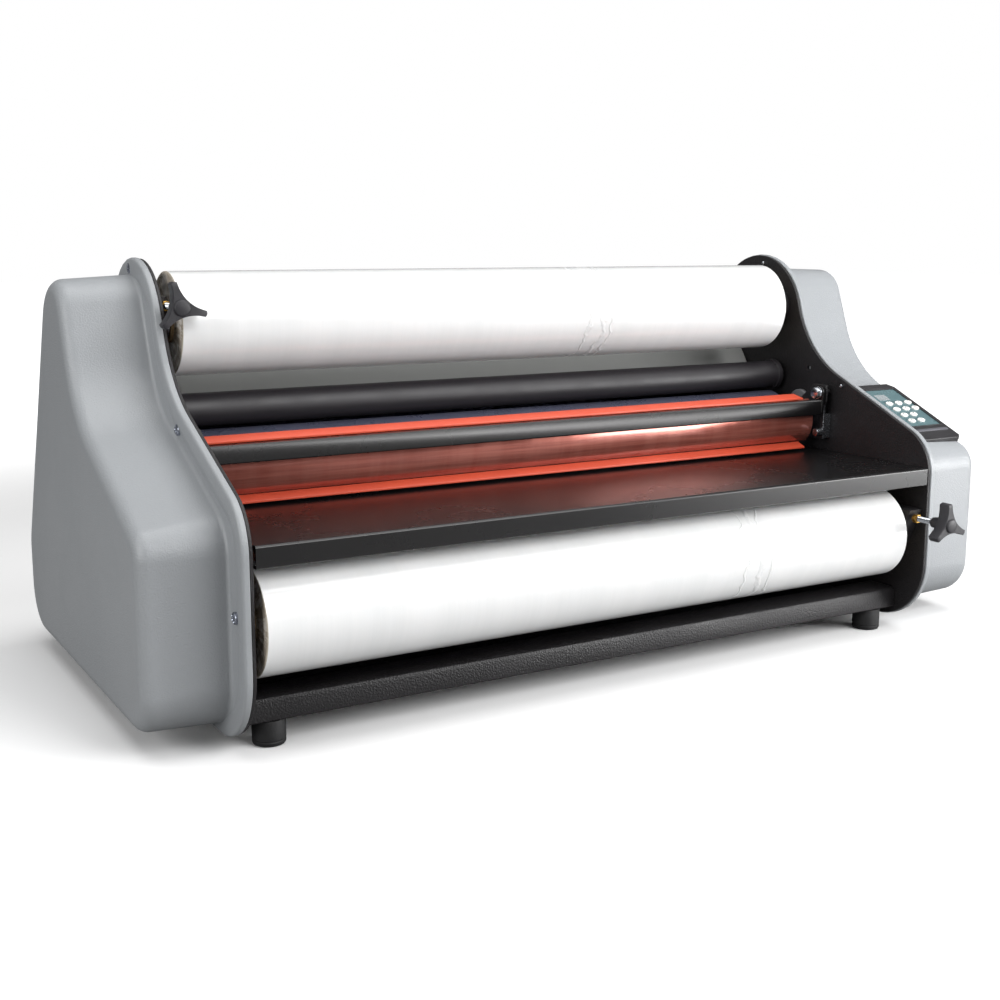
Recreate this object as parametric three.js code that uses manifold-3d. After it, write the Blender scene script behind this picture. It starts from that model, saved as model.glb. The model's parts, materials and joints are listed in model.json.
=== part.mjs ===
// Roll laminator, modelled in millimetres with +Z up, +X to the operator's right and the front facing -Y.
// Every sub-part is one closed mesh in an assembly frame: X from mid-way between the side plates,
// Y from the front-to-back datum near the upper film roll, Z from the floor. The whole assembly is
// then moved so that the origin is the centre of its footprint.

import * as THREE from 'three';
import { mergeVertices } from 'three/addons/utils/BufferGeometryUtils.js';
import Module from 'manifold-3d';

const wasm = await Module();
wasm.setup();

// Driving dimensions
const clearance = 0.3;            // between pieces that touch
const insideHalf = 363;           // mid-plane to a side plate's inner face
const plateThickness = 3;
const plateInset = 1;             // the plate's edge sits inside the cover's edge
const flangeThickness = 4;
const rimHeight = 6.3;            // raised border of the cover's flange
const coverWall = 3;
const coverDraft = 3;
const coverEdgeRadius = 12;
const leftCoverDepth = 74.7;
const rightCoverDepth = 114.7;
const footHeight = 22;
const footRadius = 14;
const footX = 336;
const frontFootY = -176;
const rollRadius = 46.5;          // film on a 1 inch core
const rollLength = 685;
const coreRadius = 16.5;
const coreBore = 12.9;
const mandrelRadius = 12.5;
const mandrelEndRadius = 8.6;
const upperRoll = { y: 8, z: 333, left: -352 };
const lowerRoll = { y: -187, z: 108.7, left: -355.5 };
const tensionOffsetZ = 16.5;      // tension screw above the mandrel's axis
const idler = { y: 5, z: 255, radius: 15.4 };
const nipRadius = 30;
const nipY = -5;
const feedZ = 177.35;             // where the web runs between the rollers
const pullY = 125.3;
const pullRadius = 30.1;
const shaftRadius = 10;
const shaftHole = 10.4;
const gearModule = 2.5;
const gearStart = 372;
const gearWidth = 12;
const transferPin = { y: 60.15, radius: 6, hole: 6.3 };
const shoe = { y: -42, z: 212.5, radius: 36, thickness: 3, left: -348, right: 342.5 };
const topStrip = { left: -353.5, right: 330 };
const bottomStrip = { left: -345, right: 334 };
const guardPivot = { y: -80, z: 241.4, radius: 3 };
const table = { top: 177.1, front: -227.2, back: -42, lip: 18.2, sheet: 1.5, half: 361 };
const sheetHalf = 361.5;
const slopeAngle = THREE.MathUtils.degToRad(24.15);
const panelOrigin = { y: -81.7, z: 234.1 };
const panel = { left: 397, right: 477, low: -96, high: 23, depth: 10.7, recess: 1 };
const button = { width: 11, depth: 8, travel: 0.8, proud: 0.9, root: 5 };
const buttonColumns = [436.5, 451, 465.5];
const buttonRows = [-19.5, -32, -44.5, -57];
const buttonsInRow = [3, 3, 2, 2];

// Corners [y, z, fillet radius] of the cover's flange, seen from the side. The two sides of the hump
// above the upper roll would meet at the fourth corner, so its fillet is the whole hump.
const flangeCorners = [
  [-227.5, 10, 65],
  [-227.5, 200.5, 48],
  [-36.9, 286, 115],
  [15.7, 523.7, 71],
  [246, 92.5, 60],
  [246, 10, 55],
];
// Corners of the cover's box where it leaves the flange, and of its outboard face before the draft
const footCorners = [
  [-190.8, 16, 45],
  [-190.8, 185.2, 36],
  [-15.9, 263.6, 102],
  [28.4, 375.5, 36],
  [90.3, 375.5, 53],
  [222, 111.7, 60],
  [222, 16, 50],
];
const boxCorners = [
  [-190, 16, 42],
  [-190, 182.4, 30],
  [-8.7, 263.6, 110],
  [31.2, 375.5, 35],
  [90.3, 375.5, 53],
  [222, 111.7, 60],
  [222, 16, 50],
];

const finishes = {
  greyPlastic: [0x9a9d9c, 0.55, 0],
  blackPaint: [0x232124, 0.6, 0.2],
  blackGloss: [0x141213, 0.15, 0.2],
  greyPaint: [0x6c6c68, 0.5, 0.2],
  film: [0xf4f2ef, 0.25, 0],
  cardboard: [0xb89a6c, 0.9, 0],
  steel: [0xb9bcc0, 0.3, 1],
  darkSteel: [0x35343a, 0.35, 0.8],
  rubber: [0x1c1c1e, 0.8, 0],
  knobPlastic: [0x414045, 0.5, 0],
  copper: [0x8c4b41, 0.3, 0.4],
  orange: [0xcd5a3c, 0.6, 0],
  buttonWhite: [0xf2f3f1, 0.4, 0],
  boardGreen: [0x2c6a45, 0.6, 0],
  gearNylon: [0xd8d6cc, 0.5, 0],
};

const laminator = new THREE.Group();
const assembly = new THREE.Group();
laminator.add(assembly);

function addPart(name, geometry, finish, parent = assembly) {
  const [color, roughness, metalness] = finishes[finish];
  const material = new THREE.MeshStandardMaterial({ color, roughness, metalness });
  const mesh = new THREE.Mesh(geometry, material);
  mesh.name = name;
  parent.add(mesh);
  return mesh;
}

// Solids and booleans

function toSolid(geometry) {
  const bare = geometry.clone();
  bare.deleteAttribute('normal');
  bare.deleteAttribute('uv');
  const merged = mergeVertices(bare, 1e-4);
  const vertProperties = new Float32Array(merged.attributes.position.array);
  const triVerts = new Uint32Array(merged.index.array);
  return new wasm.Manifold(new wasm.Mesh({ numProp: 3, vertProperties, triVerts }));
}

function toGeometry(solid) {
  const mesh = solid.getMesh();
  const geometry = new THREE.BufferGeometry();
  geometry.setAttribute('position', new THREE.BufferAttribute(mesh.vertProperties, 3));
  geometry.setIndex(new THREE.BufferAttribute(mesh.triVerts, 1));
  return geometry;
}

function join(first, ...others) {
  return toGeometry(others.reduce((sum, other) => sum.add(toSolid(other)), toSolid(first)));
}

function cut(first, ...others) {
  return toGeometry(others.reduce((rest, other) => rest.subtract(toSolid(other)), toSolid(first)));
}

function mirrorX(geometry) {
  const flipped = geometry.clone().scale(-1, 1, 1);
  const order = Array.from(flipped.index.array);
  for (let i = 0; i < order.length; i += 3) [order[i], order[i + 1]] = [order[i + 1], order[i]];
  flipped.setIndex(order);
  return flipped;
}

// Shapes drawn from the side, in (y, z), and pushed along X

const sideView = new THREE.Matrix4().makeBasis(
  new THREE.Vector3(0, 1, 0), new THREE.Vector3(0, 0, 1), new THREE.Vector3(1, 0, 0));

function extrudeX(shape, from, to, curveSegments = 12) {
  const geometry = new THREE.ExtrudeGeometry(shape, { depth: to - from, bevelEnabled: false, curveSegments });
  return geometry.applyMatrix4(sideView).translate(from, 0, 0);
}

function circlePath(y, z, radius) {
  const path = new THREE.Path();
  path.absarc(y, z, radius, 0, 2 * Math.PI);
  return path;
}

function diskShape(y, z, radius) {
  const shape = new THREE.Shape();
  shape.absarc(y, z, radius, 0, 2 * Math.PI);
  return shape;
}

function cylinderX(radius, from, to, y, z, segments = 32) {
  const geometry = new THREE.CylinderGeometry(radius, radius, to - from, segments);
  return geometry.rotateZ(-Math.PI / 2).translate((from + to) / 2, y, z);
}

function boxBetween([x0, x1], [y0, y1], [z0, z1]) {
  const geometry = new THREE.BoxGeometry(x1 - x0, y1 - y0, z1 - z0);
  return geometry.translate((x0 + x1) / 2, (y0 + y1) / 2, (z0 + z1) / 2);
}

// A solid turned about the X axis through (y, z): profile points are [x, radius]
function turnX(profile, y, z, segments = 40) {
  const points = profile.map(([x, radius]) => new THREE.Vector2(radius, x));
  return new THREE.LatheGeometry(points, segments).rotateZ(-Math.PI / 2).translate(0, y, z);
}

// Walks a cornered outline moved inwards by inset, with each corner rounded by an arc
function roundedOutline(corners, inset = 0, arcSteps = 6) {
  const count = corners.length;
  const at = (i) => new THREE.Vector2(...corners[(i + count) % count]);
  const lines = corners.map((corner, i) => {
    const along = at(i + 1).sub(at(i)).normalize();
    const inward = new THREE.Vector2(along.y, -along.x);
    return { point: at(i).addScaledVector(inward, inset), along, inward };
  });
  const outline = [];
  for (let i = 0; i < count; i++) {
    const before = lines[(i + count - 1) % count];
    const after = lines[i];
    const turn = before.along.cross(after.along);
    const between = after.point.clone().sub(before.point);
    const vertex = before.point.clone().addScaledVector(before.along, between.cross(after.along) / turn);
    const convex = turn < 0;
    const radius = corners[i][2] + (convex ? -inset : inset);
    const bend = Math.acos(THREE.MathUtils.clamp(before.along.dot(after.along), -1, 1));
    const start = vertex.clone().addScaledVector(before.along, -radius * Math.tan(bend / 2));
    const toCentre = before.inward.clone().multiplyScalar(convex ? radius : -radius);
    const centre = start.clone().add(toCentre);
    for (let step = 0; step <= arcSteps; step++) {
      const angle = (convex ? -bend : bend) * (step / arcSteps);
      outline.push(start.clone().rotateAround(centre, angle));
    }
  }
  return outline;
}

// A closed solid through rings of equal point count, each [distance along X, outline points]
function loftX(rings) {
  const size = rings[0][1].length;
  const positions = [];
  for (const [x, outline] of rings) for (const point of outline) positions.push(x, point.x, point.y);
  const index = [];
  for (let ring = 0; ring + 1 < rings.length; ring++) {
    for (let i = 0; i < size; i++) {
      const a = ring * size + i;
      const b = ring * size + (i + 1) % size;
      index.push(a, a + size, b, b, a + size, b + size);
    }
  }
  const last = (rings.length - 1) * size;
  for (const [i, j, k] of THREE.ShapeUtils.triangulateShape(rings[0][1], [])) index.push(i, k, j);
  for (const [i, j, k] of THREE.ShapeUtils.triangulateShape(rings[rings.length - 1][1], [])) {
    index.push(last + i, last + j, last + k);
  }
  const geometry = new THREE.BufferGeometry();
  geometry.setAttribute('position', new THREE.Float32BufferAttribute(positions, 3));
  geometry.setIndex(index);
  return geometry;
}

// Side covers: a flange with a raised rim, and a hollow box with rounded edges

function boxRings(depth, extra, start) {
  const straight = depth - coverEdgeRadius;
  const rings = [[start, roundedOutline(footCorners, extra)]];
  rings.push([straight, roundedOutline(boxCorners, extra + coverDraft)]);
  for (const angle of [30, 60, 90].map(THREE.MathUtils.degToRad)) {
    const inset = extra + coverDraft + coverEdgeRadius * (1 - Math.cos(angle));
    rings.push([straight + coverEdgeRadius * Math.sin(angle), roundedOutline(boxCorners, inset)]);
  }
  return rings;
}

function sideCover(depth) {
  const rimSection = [[0, 0], [4.4, 0], [5.6, 1], [rimHeight, 3.5], [rimHeight, 12], [flangeThickness, 19]];
  const flange = loftX(rimSection.map(([x, inset]) => [x, roundedOutline(flangeCorners, inset)]));
  const foot = loftX([[0, -3], [4, -3], [5, -1], [7.5, 0]].map(([x, inset]) =>
    [x, roundedOutline(footCorners, inset)]));
  const shell = loftX(boxRings(depth, 0, 0));
  const hollow = loftX(boxRings(depth - coverWall, coverWall, -1));
  return cut(join(flange, foot, shell), hollow);
}

function addSideCovers() {
  const flangeX = insideHalf + plateThickness + clearance;
  const pocket = boxBetween([panel.left - clearance, panel.right + clearance],
    [panel.low - clearance, panel.high + clearance], [-16, 30]);
  pocket.rotateX(slopeAngle).translate(0, panelOrigin.y, panelOrigin.z);
  const rightCover = cut(sideCover(rightCoverDepth).translate(flangeX, 0, 0), pocket);
  addPart('side_cover_right', rightCover, 'greyPlastic');
  addPart('side_cover_left', mirrorX(sideCover(leftCoverDepth).translate(flangeX, 0, 0)), 'greyPlastic');
}

// Side plates, with the holes their shafts run in

function sidePlate(withTransferHole) {
  const shape = new THREE.Shape(roundedOutline(flangeCorners, plateInset));
  const holes = [
    [nipY, feedZ - nipRadius - 0.15, shaftHole],
    [nipY, feedZ + nipRadius + 0.15, shaftHole],
    [pullY, feedZ - pullRadius - 0.15, shaftHole],
    [pullY, feedZ + pullRadius + 0.15, shaftHole],
    [idler.y, idler.z, 8],
    [-35.5, 224.7, 16.5],
  ];
  if (withTransferHole) holes.push([transferPin.y, feedZ - nipRadius - 0.15, transferPin.hole]);
  for (const [y, z, radius] of holes) shape.holes.push(circlePath(y, z, radius));
  return extrudeX(shape, insideHalf, insideHalf + plateThickness, 8);
}

function addPlates() {
  addPart('side_plate_right', sidePlate(true), 'blackPaint');
  const left = sidePlate(false).translate(-2 * insideHalf - plateThickness, 0, 0);
  addPart('side_plate_left', left, 'blackPaint');
  const bush = extrudeX(diskShape(-35.5, 224.7, 16), insideHalf - 4, insideHalf + plateThickness, 20);
  addPart('heater_lead_bush', bush, 'greyPaint');
}

// Base: front rail, floor pan and feet

function channelX(points, half) {
  return extrudeX(new THREE.Shape(points.map(([y, z]) => new THREE.Vector2(y, z))), -half, half);
}

function addBase() {
  const low = footHeight + clearance;
  const top = low + 21.2;
  const rail = [
    [-190, low + 1], [-189, low], [-152, low], [-152, low + 2], [-188, low + 2], [-188, top - 5],
    [-186.5, top - 2.7], [-184, top - 2], [-156, top - 2], [-156, top], [-185, top], [-188.5, top - 1.5],
    [-190, top - 5],
  ];
  addPart('front_rail', channelX(rail, insideHalf - clearance), 'blackPaint');
  const pan = [[-151.5, low], [222, low], [222, low + 18], [220, low + 18], [220, low + 2], [-151.5, low + 2]];
  addPart('base_pan', channelX(pan, insideHalf - clearance), 'blackPaint');
  const places = { front_left: [-footX, frontFootY], front_right: [footX, frontFootY], rear_left: [-footX, 185],
    rear_right: [footX, 185] };
  for (const [place, [x, y]] of Object.entries(places)) {
    const profile = [[0, 0], [footRadius - 1.8, 0], [footRadius, 2], [footRadius, footHeight], [0, footHeight]];
    const foot = new THREE.LatheGeometry(profile.map(([r, z]) => new THREE.Vector2(r, z)), 24);
    addPart(`rubber_foot_${place}`, foot.rotateX(Math.PI / 2).translate(x, y, 0), 'rubber');
  }
}

// Film supply rolls: film on a cardboard core, on a mandrel that turns in two brackets

function ringProfile(from, to, inner, outer) {
  return [[from, inner], [from, outer], [to, outer], [to, inner], [from, inner]];
}

function addFilmRoll(level, roll, leftBracket, rightBracket) {
  const right = roll.left + rollLength;
  const film = turnX(ringProfile(roll.left, right, coreRadius + clearance, rollRadius), roll.y, roll.z, 48);
  addPart(`${level}_film_roll`, film, 'film');
  const core = ringProfile(roll.left - 1.5, right + 3, coreBore, coreRadius);
  addPart(`${level}_film_core`, turnX(core, roll.y, roll.z, 24), 'cardboard');
  const mandrel = [
    [leftBracket - 5, 0], [leftBracket - 5, mandrelEndRadius], [leftBracket + 0.5, mandrelEndRadius],
    [leftBracket + 0.5, mandrelRadius], [rightBracket - 0.5, mandrelRadius],
    [rightBracket - 0.5, mandrelEndRadius], [rightBracket + 5, mandrelEndRadius], [rightBracket + 5, 0],
  ];
  addPart(`${level}_mandrel`, turnX(mandrel, roll.y, roll.z, 24), 'steel');
}

// A bracket round the mandrel's end, with an optional ear that holds the tension screw in front of it
function mandrelBracket(roll, radius, from, to, earFront) {
  const shape = new THREE.Shape();
  if (earFront === undefined) {
    shape.absarc(roll.y, roll.z, radius, 0, 2 * Math.PI);
  } else {
    const screwZ = roll.z + tensionOffsetZ;
    shape.moveTo(earFront, screwZ - 8);
    shape.absarc(roll.y, roll.z, radius, Math.PI * 1.15, Math.PI * 2.25);
    shape.lineTo(roll.y - 4, screwZ + 8);
    shape.lineTo(earFront, screwZ + 8);
  }
  shape.holes.push(circlePath(roll.y, roll.z, mandrelEndRadius + 0.4));
  return extrudeX(shape, from, to);
}

// A hexagon locknut and a threaded stud, seen from the bracket towards the operator
function tensionStud(x, nutBack, z, reach) {
  const nut = new THREE.CylinderGeometry(5, 5, 5.6, 6).translate(x, nutBack - 2.8, z);
  const stud = new THREE.CylinderGeometry(3, 3, reach, 20).translate(x, nutBack - reach / 2, z);
  return join(nut, stud);
}

// A three-lobed knob on a collar, whose back is at collarBack
function tensionKnob(x, collarBack, z, turn) {
  const outline = new THREE.Shape();
  const tip = 22.5;
  const waist = 8.5;
  for (let lobe = 0; lobe < 3; lobe++) {
    const angle = lobe * 2 * Math.PI / 3;
    const next = angle + 2 * Math.PI / 3;
    const edge = (a, r) => [r * Math.cos(a), r * Math.sin(a)];
    if (lobe === 0) outline.moveTo(...edge(angle - 0.09, tip));
    outline.lineTo(...edge(angle + 0.09, tip));
    outline.quadraticCurveTo(...edge((angle + next) / 2, waist - 1.5), ...edge(next - 0.09, tip));
  }
  const body = new THREE.ExtrudeGeometry(outline, { depth: 9.8, bevelThickness: 1.2, bevelSize: 1,
    bevelOffset: -1, bevelSegments: 2, curveSegments: 8 });
  body.rotateZ(turn).translate(0, 0, 12.2);
  const collar = new THREE.CylinderGeometry(7.5, 5.2, 14, 24).rotateX(Math.PI / 2).translate(0, 0, 7);
  const bore = new THREE.CylinderGeometry(3.3, 3.3, 11, 20).rotateX(Math.PI / 2).translate(0, 0, 5);
  const cap = new THREE.CylinderGeometry(6.5, 7, 2.2, 24).rotateX(Math.PI / 2).translate(0, 0, 24.1);
  return cut(join(body, collar, cap), bore).rotateX(Math.PI / 2).translate(x, collarBack, z);
}

function addSupplyRolls() {
  const inner = insideHalf - clearance;
  const bracketEnds = { upperLeft: -355.9, upperRight: 346, lowerLeft: -357.4, lowerRight: 344 };
  addFilmRoll('upper', upperRoll, bracketEnds.upperLeft, bracketEnds.upperRight);
  addFilmRoll('lower', lowerRoll, bracketEnds.lowerLeft, bracketEnds.lowerRight);
  const upperFront = -6.5;
  const lowerFront = -222;
  const upperLeft = mandrelBracket(upperRoll, 17, -inner, bracketEnds.upperLeft, upperFront);
  addPart('upper_mandrel_bracket_left', upperLeft, 'blackPaint');
  const upperRight = mandrelBracket(upperRoll, 20, bracketEnds.upperRight, inner);
  addPart('upper_mandrel_bracket_right', upperRight, 'blackPaint');
  const lowerLeft = mandrelBracket(lowerRoll, 24, -inner, bracketEnds.lowerLeft);
  addPart('lower_mandrel_bracket_left', lowerLeft, 'blackPaint');
  const lowerRight = mandrelBracket(lowerRoll, 22, bracketEnds.lowerRight, inner, lowerFront);
  addPart('lower_mandrel_bracket_right', lowerRight, 'blackPaint');

  const upperZ = upperRoll.z + tensionOffsetZ;
  const lowerZ = lowerRoll.z + tensionOffsetZ;
  const degrees = THREE.MathUtils.degToRad;
  addPart('upper_tension_stud', tensionStud(-357.9, upperFront - clearance, upperZ, 36), 'steel');
  addPart('upper_tension_knob', tensionKnob(-357.9, upperFront - 28, upperZ, degrees(-14)), 'knobPlastic');
  addPart('lower_tension_stud', tensionStud(351, lowerFront - clearance, lowerZ, 33), 'steel');
  addPart('lower_tension_knob', tensionKnob(351, lowerFront - 25, lowerZ, degrees(-24)), 'knobPlastic');
}

// Rollers

function addRollers() {
  const { y, z, radius } = idler;
  const idlerProfile = [
    [-365, 0], [-365, 7.6], [-359, 7.6], [-359, radius], [351, radius], [351, 17.2], [357, 17.2], [357, 12],
    [359, 12], [359, 7.6], [365, 7.6], [365, 0],
  ];
  addPart('idler_roller', turnX(idlerProfile, y, z, 28), 'darkSteel');
  const face = 345;
  const driven = gearStart + gearWidth + 2;
  const rollers = [
    ['upper_nip_roller', nipY, feedZ + nipRadius + 0.15, nipRadius, driven],
    ['lower_nip_roller', nipY, feedZ - nipRadius - 0.15, nipRadius, driven],
    ['upper_pull_roller', pullY, feedZ + pullRadius + 0.15, pullRadius, 371],
    ['lower_pull_roller', pullY, feedZ - pullRadius - 0.15, pullRadius, driven],
  ];
  for (const [name, rollerY, rollerZ, rollerRadius, end] of rollers) {
    const profile = [
      [-371, 0], [-371, shaftRadius], [-face, shaftRadius], [-face, rollerRadius - 1.5],
      [1.5 - face, rollerRadius], [face - 1.5, rollerRadius], [face, rollerRadius - 1.5],
      [face, shaftRadius], [end, shaftRadius], [end, 0],
    ];
    addPart(name, turnX(profile, rollerY, rollerZ, 28), 'rubber');
  }
}

// Gear train behind the right cover. Tooth flanks are involutes with a 20 degree pressure angle.

function gearShape(teeth, phase) {
  const pitch = gearModule * teeth / 2;
  const base = pitch * Math.cos(THREE.MathUtils.degToRad(20));
  const involute = (radius) => {
    const angle = Math.acos(Math.min(1, base / radius));
    return Math.tan(angle) - angle;
  };
  const halfTooth = (radius) => 0.43 * Math.PI / teeth + involute(pitch) - involute(radius);
  const tip = pitch + 0.85 * gearModule;
  const root = pitch - 1.2 * gearModule;
  const flank = [root, pitch, tip];
  const shape = new THREE.Shape();
  for (let tooth = 0; tooth < teeth; tooth++) {
    const middle = phase + tooth * 2 * Math.PI / teeth;
    const rising = flank.map((radius) => [radius, middle - halfTooth(Math.max(radius, base))]);
    const falling = flank.map((radius) => [radius, middle + halfTooth(Math.max(radius, base))]).reverse();
    for (const [radius, angle] of [...rising, ...falling]) {
      const point = [radius * Math.cos(angle), radius * Math.sin(angle)];
      if (tooth === 0 && shape.curves.length === 0 && radius === root) shape.moveTo(...point);
      else shape.lineTo(...point);
    }
  }
  return shape;
}

function gear(teeth, phase, y, z, bore) {
  const shape = gearShape(teeth, phase);
  if (bore) shape.holes.push(circlePath(0, 0, bore));
  return extrudeX(shape, gearStart, gearStart + gearWidth).translate(0, y, z);
}

function addDrive() {
  const lowZ = feedZ - nipRadius - 0.15;
  const highZ = feedZ + nipRadius + 0.15;
  const pinionZ = lowZ - 50.2;
  const half = (teeth) => Math.PI / teeth;
  const bore = shaftRadius + clearance;
  addPart('lower_nip_gear', gear(24, 0, nipY, lowZ, bore), 'gearNylon');
  addPart('upper_nip_gear', gear(24, half(24), nipY, highZ, bore), 'gearNylon');
  addPart('lower_pull_gear', gear(24, 0, pullY, feedZ - pullRadius - 0.15, bore), 'gearNylon');
  const axle = cylinderX(transferPin.radius, insideHalf - 6, gearStart + gearWidth + 2, transferPin.y, lowZ, 24);
  addPart('transfer_gear', join(gear(28, half(28), transferPin.y, lowZ, 0), axle), 'gearNylon');
  const pinionShaft = cylinderX(5, gearStart - 3, 391, transferPin.y, pinionZ, 24);
  addPart('motor_pinion', join(gear(12, Math.PI / 2, transferPin.y, pinionZ, 0), pinionShaft), 'steel');
  const motor = [
    [388, 5.3], [388, 34], [421, 34], [421, 28], [466, 28], [470, 24], [470, 0], [392, 0], [392, 5.3], [388, 5.3],
  ];
  addPart('gear_motor', turnX(motor, transferPin.y, pinionZ, 40), 'darkSteel');
}

// Heat shoes, their insulating strips and end brackets, and the guard bar in front of them

function arcPlate(z, fromDegrees, toDegrees) {
  const shape = new THREE.Shape();
  const [from, to] = [fromDegrees, toDegrees].map(THREE.MathUtils.degToRad);
  shape.absarc(shoe.y, z, shoe.radius, from, to, false);
  shape.absarc(shoe.y, z, shoe.radius - shoe.thickness, to, from, true);
  return extrudeX(shape, shoe.left, shoe.right, 20);
}

function stripX(ends, backY, backZ, frontY, frontZ, thickness) {
  const shape = new THREE.Shape();
  shape.moveTo(backY, backZ);
  shape.lineTo(frontY, frontZ);
  shape.lineTo(frontY, frontZ - thickness);
  shape.lineTo(backY, backZ - thickness);
  return extrudeX(shape, ends.left, ends.right);
}

function bracketWeb(from, to) {
  const web = new THREE.Shape();
  web.moveTo(-84, 190);
  web.lineTo(-44, 190);
  web.lineTo(-44, 230);
  web.lineTo(-66, 250);
  web.lineTo(-87, 250);
  web.lineTo(-87, 232);
  web.lineTo(-84, 228);
  return extrudeX(web, from, to);
}

function rightShoeBracket() {
  const foot = boxBetween([353, insideHalf - clearance], [-84, -82], [191, 218]);
  const pin = cylinderX(4, 343, 353, -81, 198, 20);
  const bolt = cylinderX(guardPivot.radius, 341, 362, guardPivot.y, guardPivot.z, 20);
  const head = cylinderX(6, 340.5, 345, guardPivot.y, guardPivot.z, 6);
  const washer = cylinderX(7, 345, 346.3, guardPivot.y, guardPivot.z, 24);
  return join(bracketWeb(352, 354), foot, pin, bolt, head, washer);
}

// On the left the guard turns on a plain pin close to the side plate, kept by a thin disc
function leftShoeBracket() {
  const foot = boxBetween([-insideHalf + clearance, -359], [-84, -82], [191, 218]);
  const pin = cylinderX(4, -359, -349, -81, 198, 20);
  const bolt = cylinderX(guardPivot.radius, -359, -353.2, guardPivot.y, guardPivot.z, 20);
  const disc = cylinderX(5, -353.9, -352.7, guardPivot.y, guardPivot.z, 20);
  return join(bracketWeb(-360, -358), foot, pin, bolt, disc);
}

function guardBar() {
  const low = 217.6;
  const high = 234;
  const bar = new THREE.Shape();
  bar.moveTo(-82, low);
  bar.lineTo(-82, high - 1.5);
  bar.lineTo(-78, high - 1.5);
  bar.lineTo(-78, high);
  bar.lineTo(-85, high);
  bar.lineTo(-86, high - 1);
  bar.lineTo(-86, low + 1);
  bar.lineTo(-85, low);
  const ear = new THREE.Shape();
  ear.moveTo(-86, low + 1);
  ear.lineTo(-78, low + 1);
  ear.lineTo(guardPivot.y + 7.5, guardPivot.z);
  ear.absarc(guardPivot.y, guardPivot.z, 8, 0, Math.PI, false);
  ear.holes.push(circlePath(guardPivot.y, guardPivot.z, guardPivot.radius + 0.4));
  const rightEar = extrudeX(ear, 346.6, 350);
  const leftEar = extrudeX(ear, -357.6, -354.2);
  return join(extrudeX(bar, -356.6, 349), rightEar, leftEar);
}

function addShoes() {
  addPart('upper_heat_shoe', arcPlate(shoe.z, 142, 226), 'copper');
  addPart('lower_heat_shoe', arcPlate(2 * feedZ - shoe.z, 134, 218), 'copper');
  addPart('upper_shoe_top_strip', stripX(topStrip, -63, 240, -74.5, 236, 2), 'orange');
  addPart('upper_shoe_bottom_strip', stripX(bottomStrip, -68, 187, -75.5, 182, 2), 'orange');
  addPart('shoe_bracket_right', rightShoeBracket(), 'steel');
  addPart('shoe_bracket_left', leftShoeBracket(), 'steel');
  addPart('guard_bar', guardBar(), 'blackGloss');
}

// Sheet metal: the feed table with its front lip, the hood behind the rollers and the rear panel

function addSheetMetal() {
  const { top, front, back, lip, sheet, half } = table;
  const tableSection = [
    [back, top], [front + 2, top], [front + 0.6, top - 0.6], [front, top - 2], [front, top - lip],
    [front + 7, top - lip], [front + 7, top - lip + sheet], [front + sheet, top - lip + sheet],
    [front + sheet, top - sheet], [back - 4, top - sheet], [back - 1, top - sheet - 2],
    [back, top - sheet - 1],
  ];
  addPart('feed_table', channelX(tableSection.reverse(), half), 'blackGloss');
  const hood = [
    [46, 249], [92, 315], [114, 320], [180, 196], [178.5, 195.4], [113.2, 318.2], [93, 313.6], [47.3, 248.2],
  ];
  addPart('rear_hood', channelX(hood.reverse(), sheetHalf), 'greyPaint');
  const rear = [[196, 164], [233, 94], [233, 20], [231.5, 20], [231.5, 93.6], [194.6, 163.4]];
  const hole = boxBetween([277, 323], [225, 240], [42, 70]);
  addPart('rear_panel', cut(channelX(rear.reverse(), sheetHalf), hole), 'greyPaint');
}

// Power inlet with its rocker switch, in the rear panel's opening

function addPower() {
  const flange = boxBetween([272, 328], [233.3, 235.3], [38, 74]);
  const body = boxBetween([277.5, 322.5], [205, 234], [42.5, 69.5]);
  const socket = boxBetween([300, 319], [224, 240], [46, 66]);
  const rockerWell = boxBetween([282, 293], [226, 240], [46, 66]);
  addPart('power_inlet', cut(join(flange, body), socket, rockerWell), 'rubber');
  const rocker = new THREE.Shape();
  rocker.moveTo(236.8, 47.5);
  rocker.lineTo(234.8, 56);
  rocker.lineTo(234.8, 64.5);
  rocker.lineTo(231, 64.5);
  rocker.lineTo(228, 56);
  rocker.lineTo(231, 47.5);
  addPart('power_switch', extrudeX(rocker, 282.5, 292.5), 'blackPaint');
}

// Control panel on the right cover's slope, in a frame that lies in the panel's face

function ovalShape(width, depth) {
  const shape = new THREE.Shape();
  shape.absellipse(0, 0, width / 2, depth / 2, 0, 2 * Math.PI);
  return shape;
}

function upward(shape, depth, bevel, segments) {
  return new THREE.ExtrudeGeometry(shape, { depth: depth - 2 * bevel, bevelThickness: bevel, bevelSize: bevel,
    bevelOffset: -bevel, bevelSegments: 2, curveSegments: segments, bevelEnabled: bevel > 0 }).translate(0, 0, bevel);
}

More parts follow.
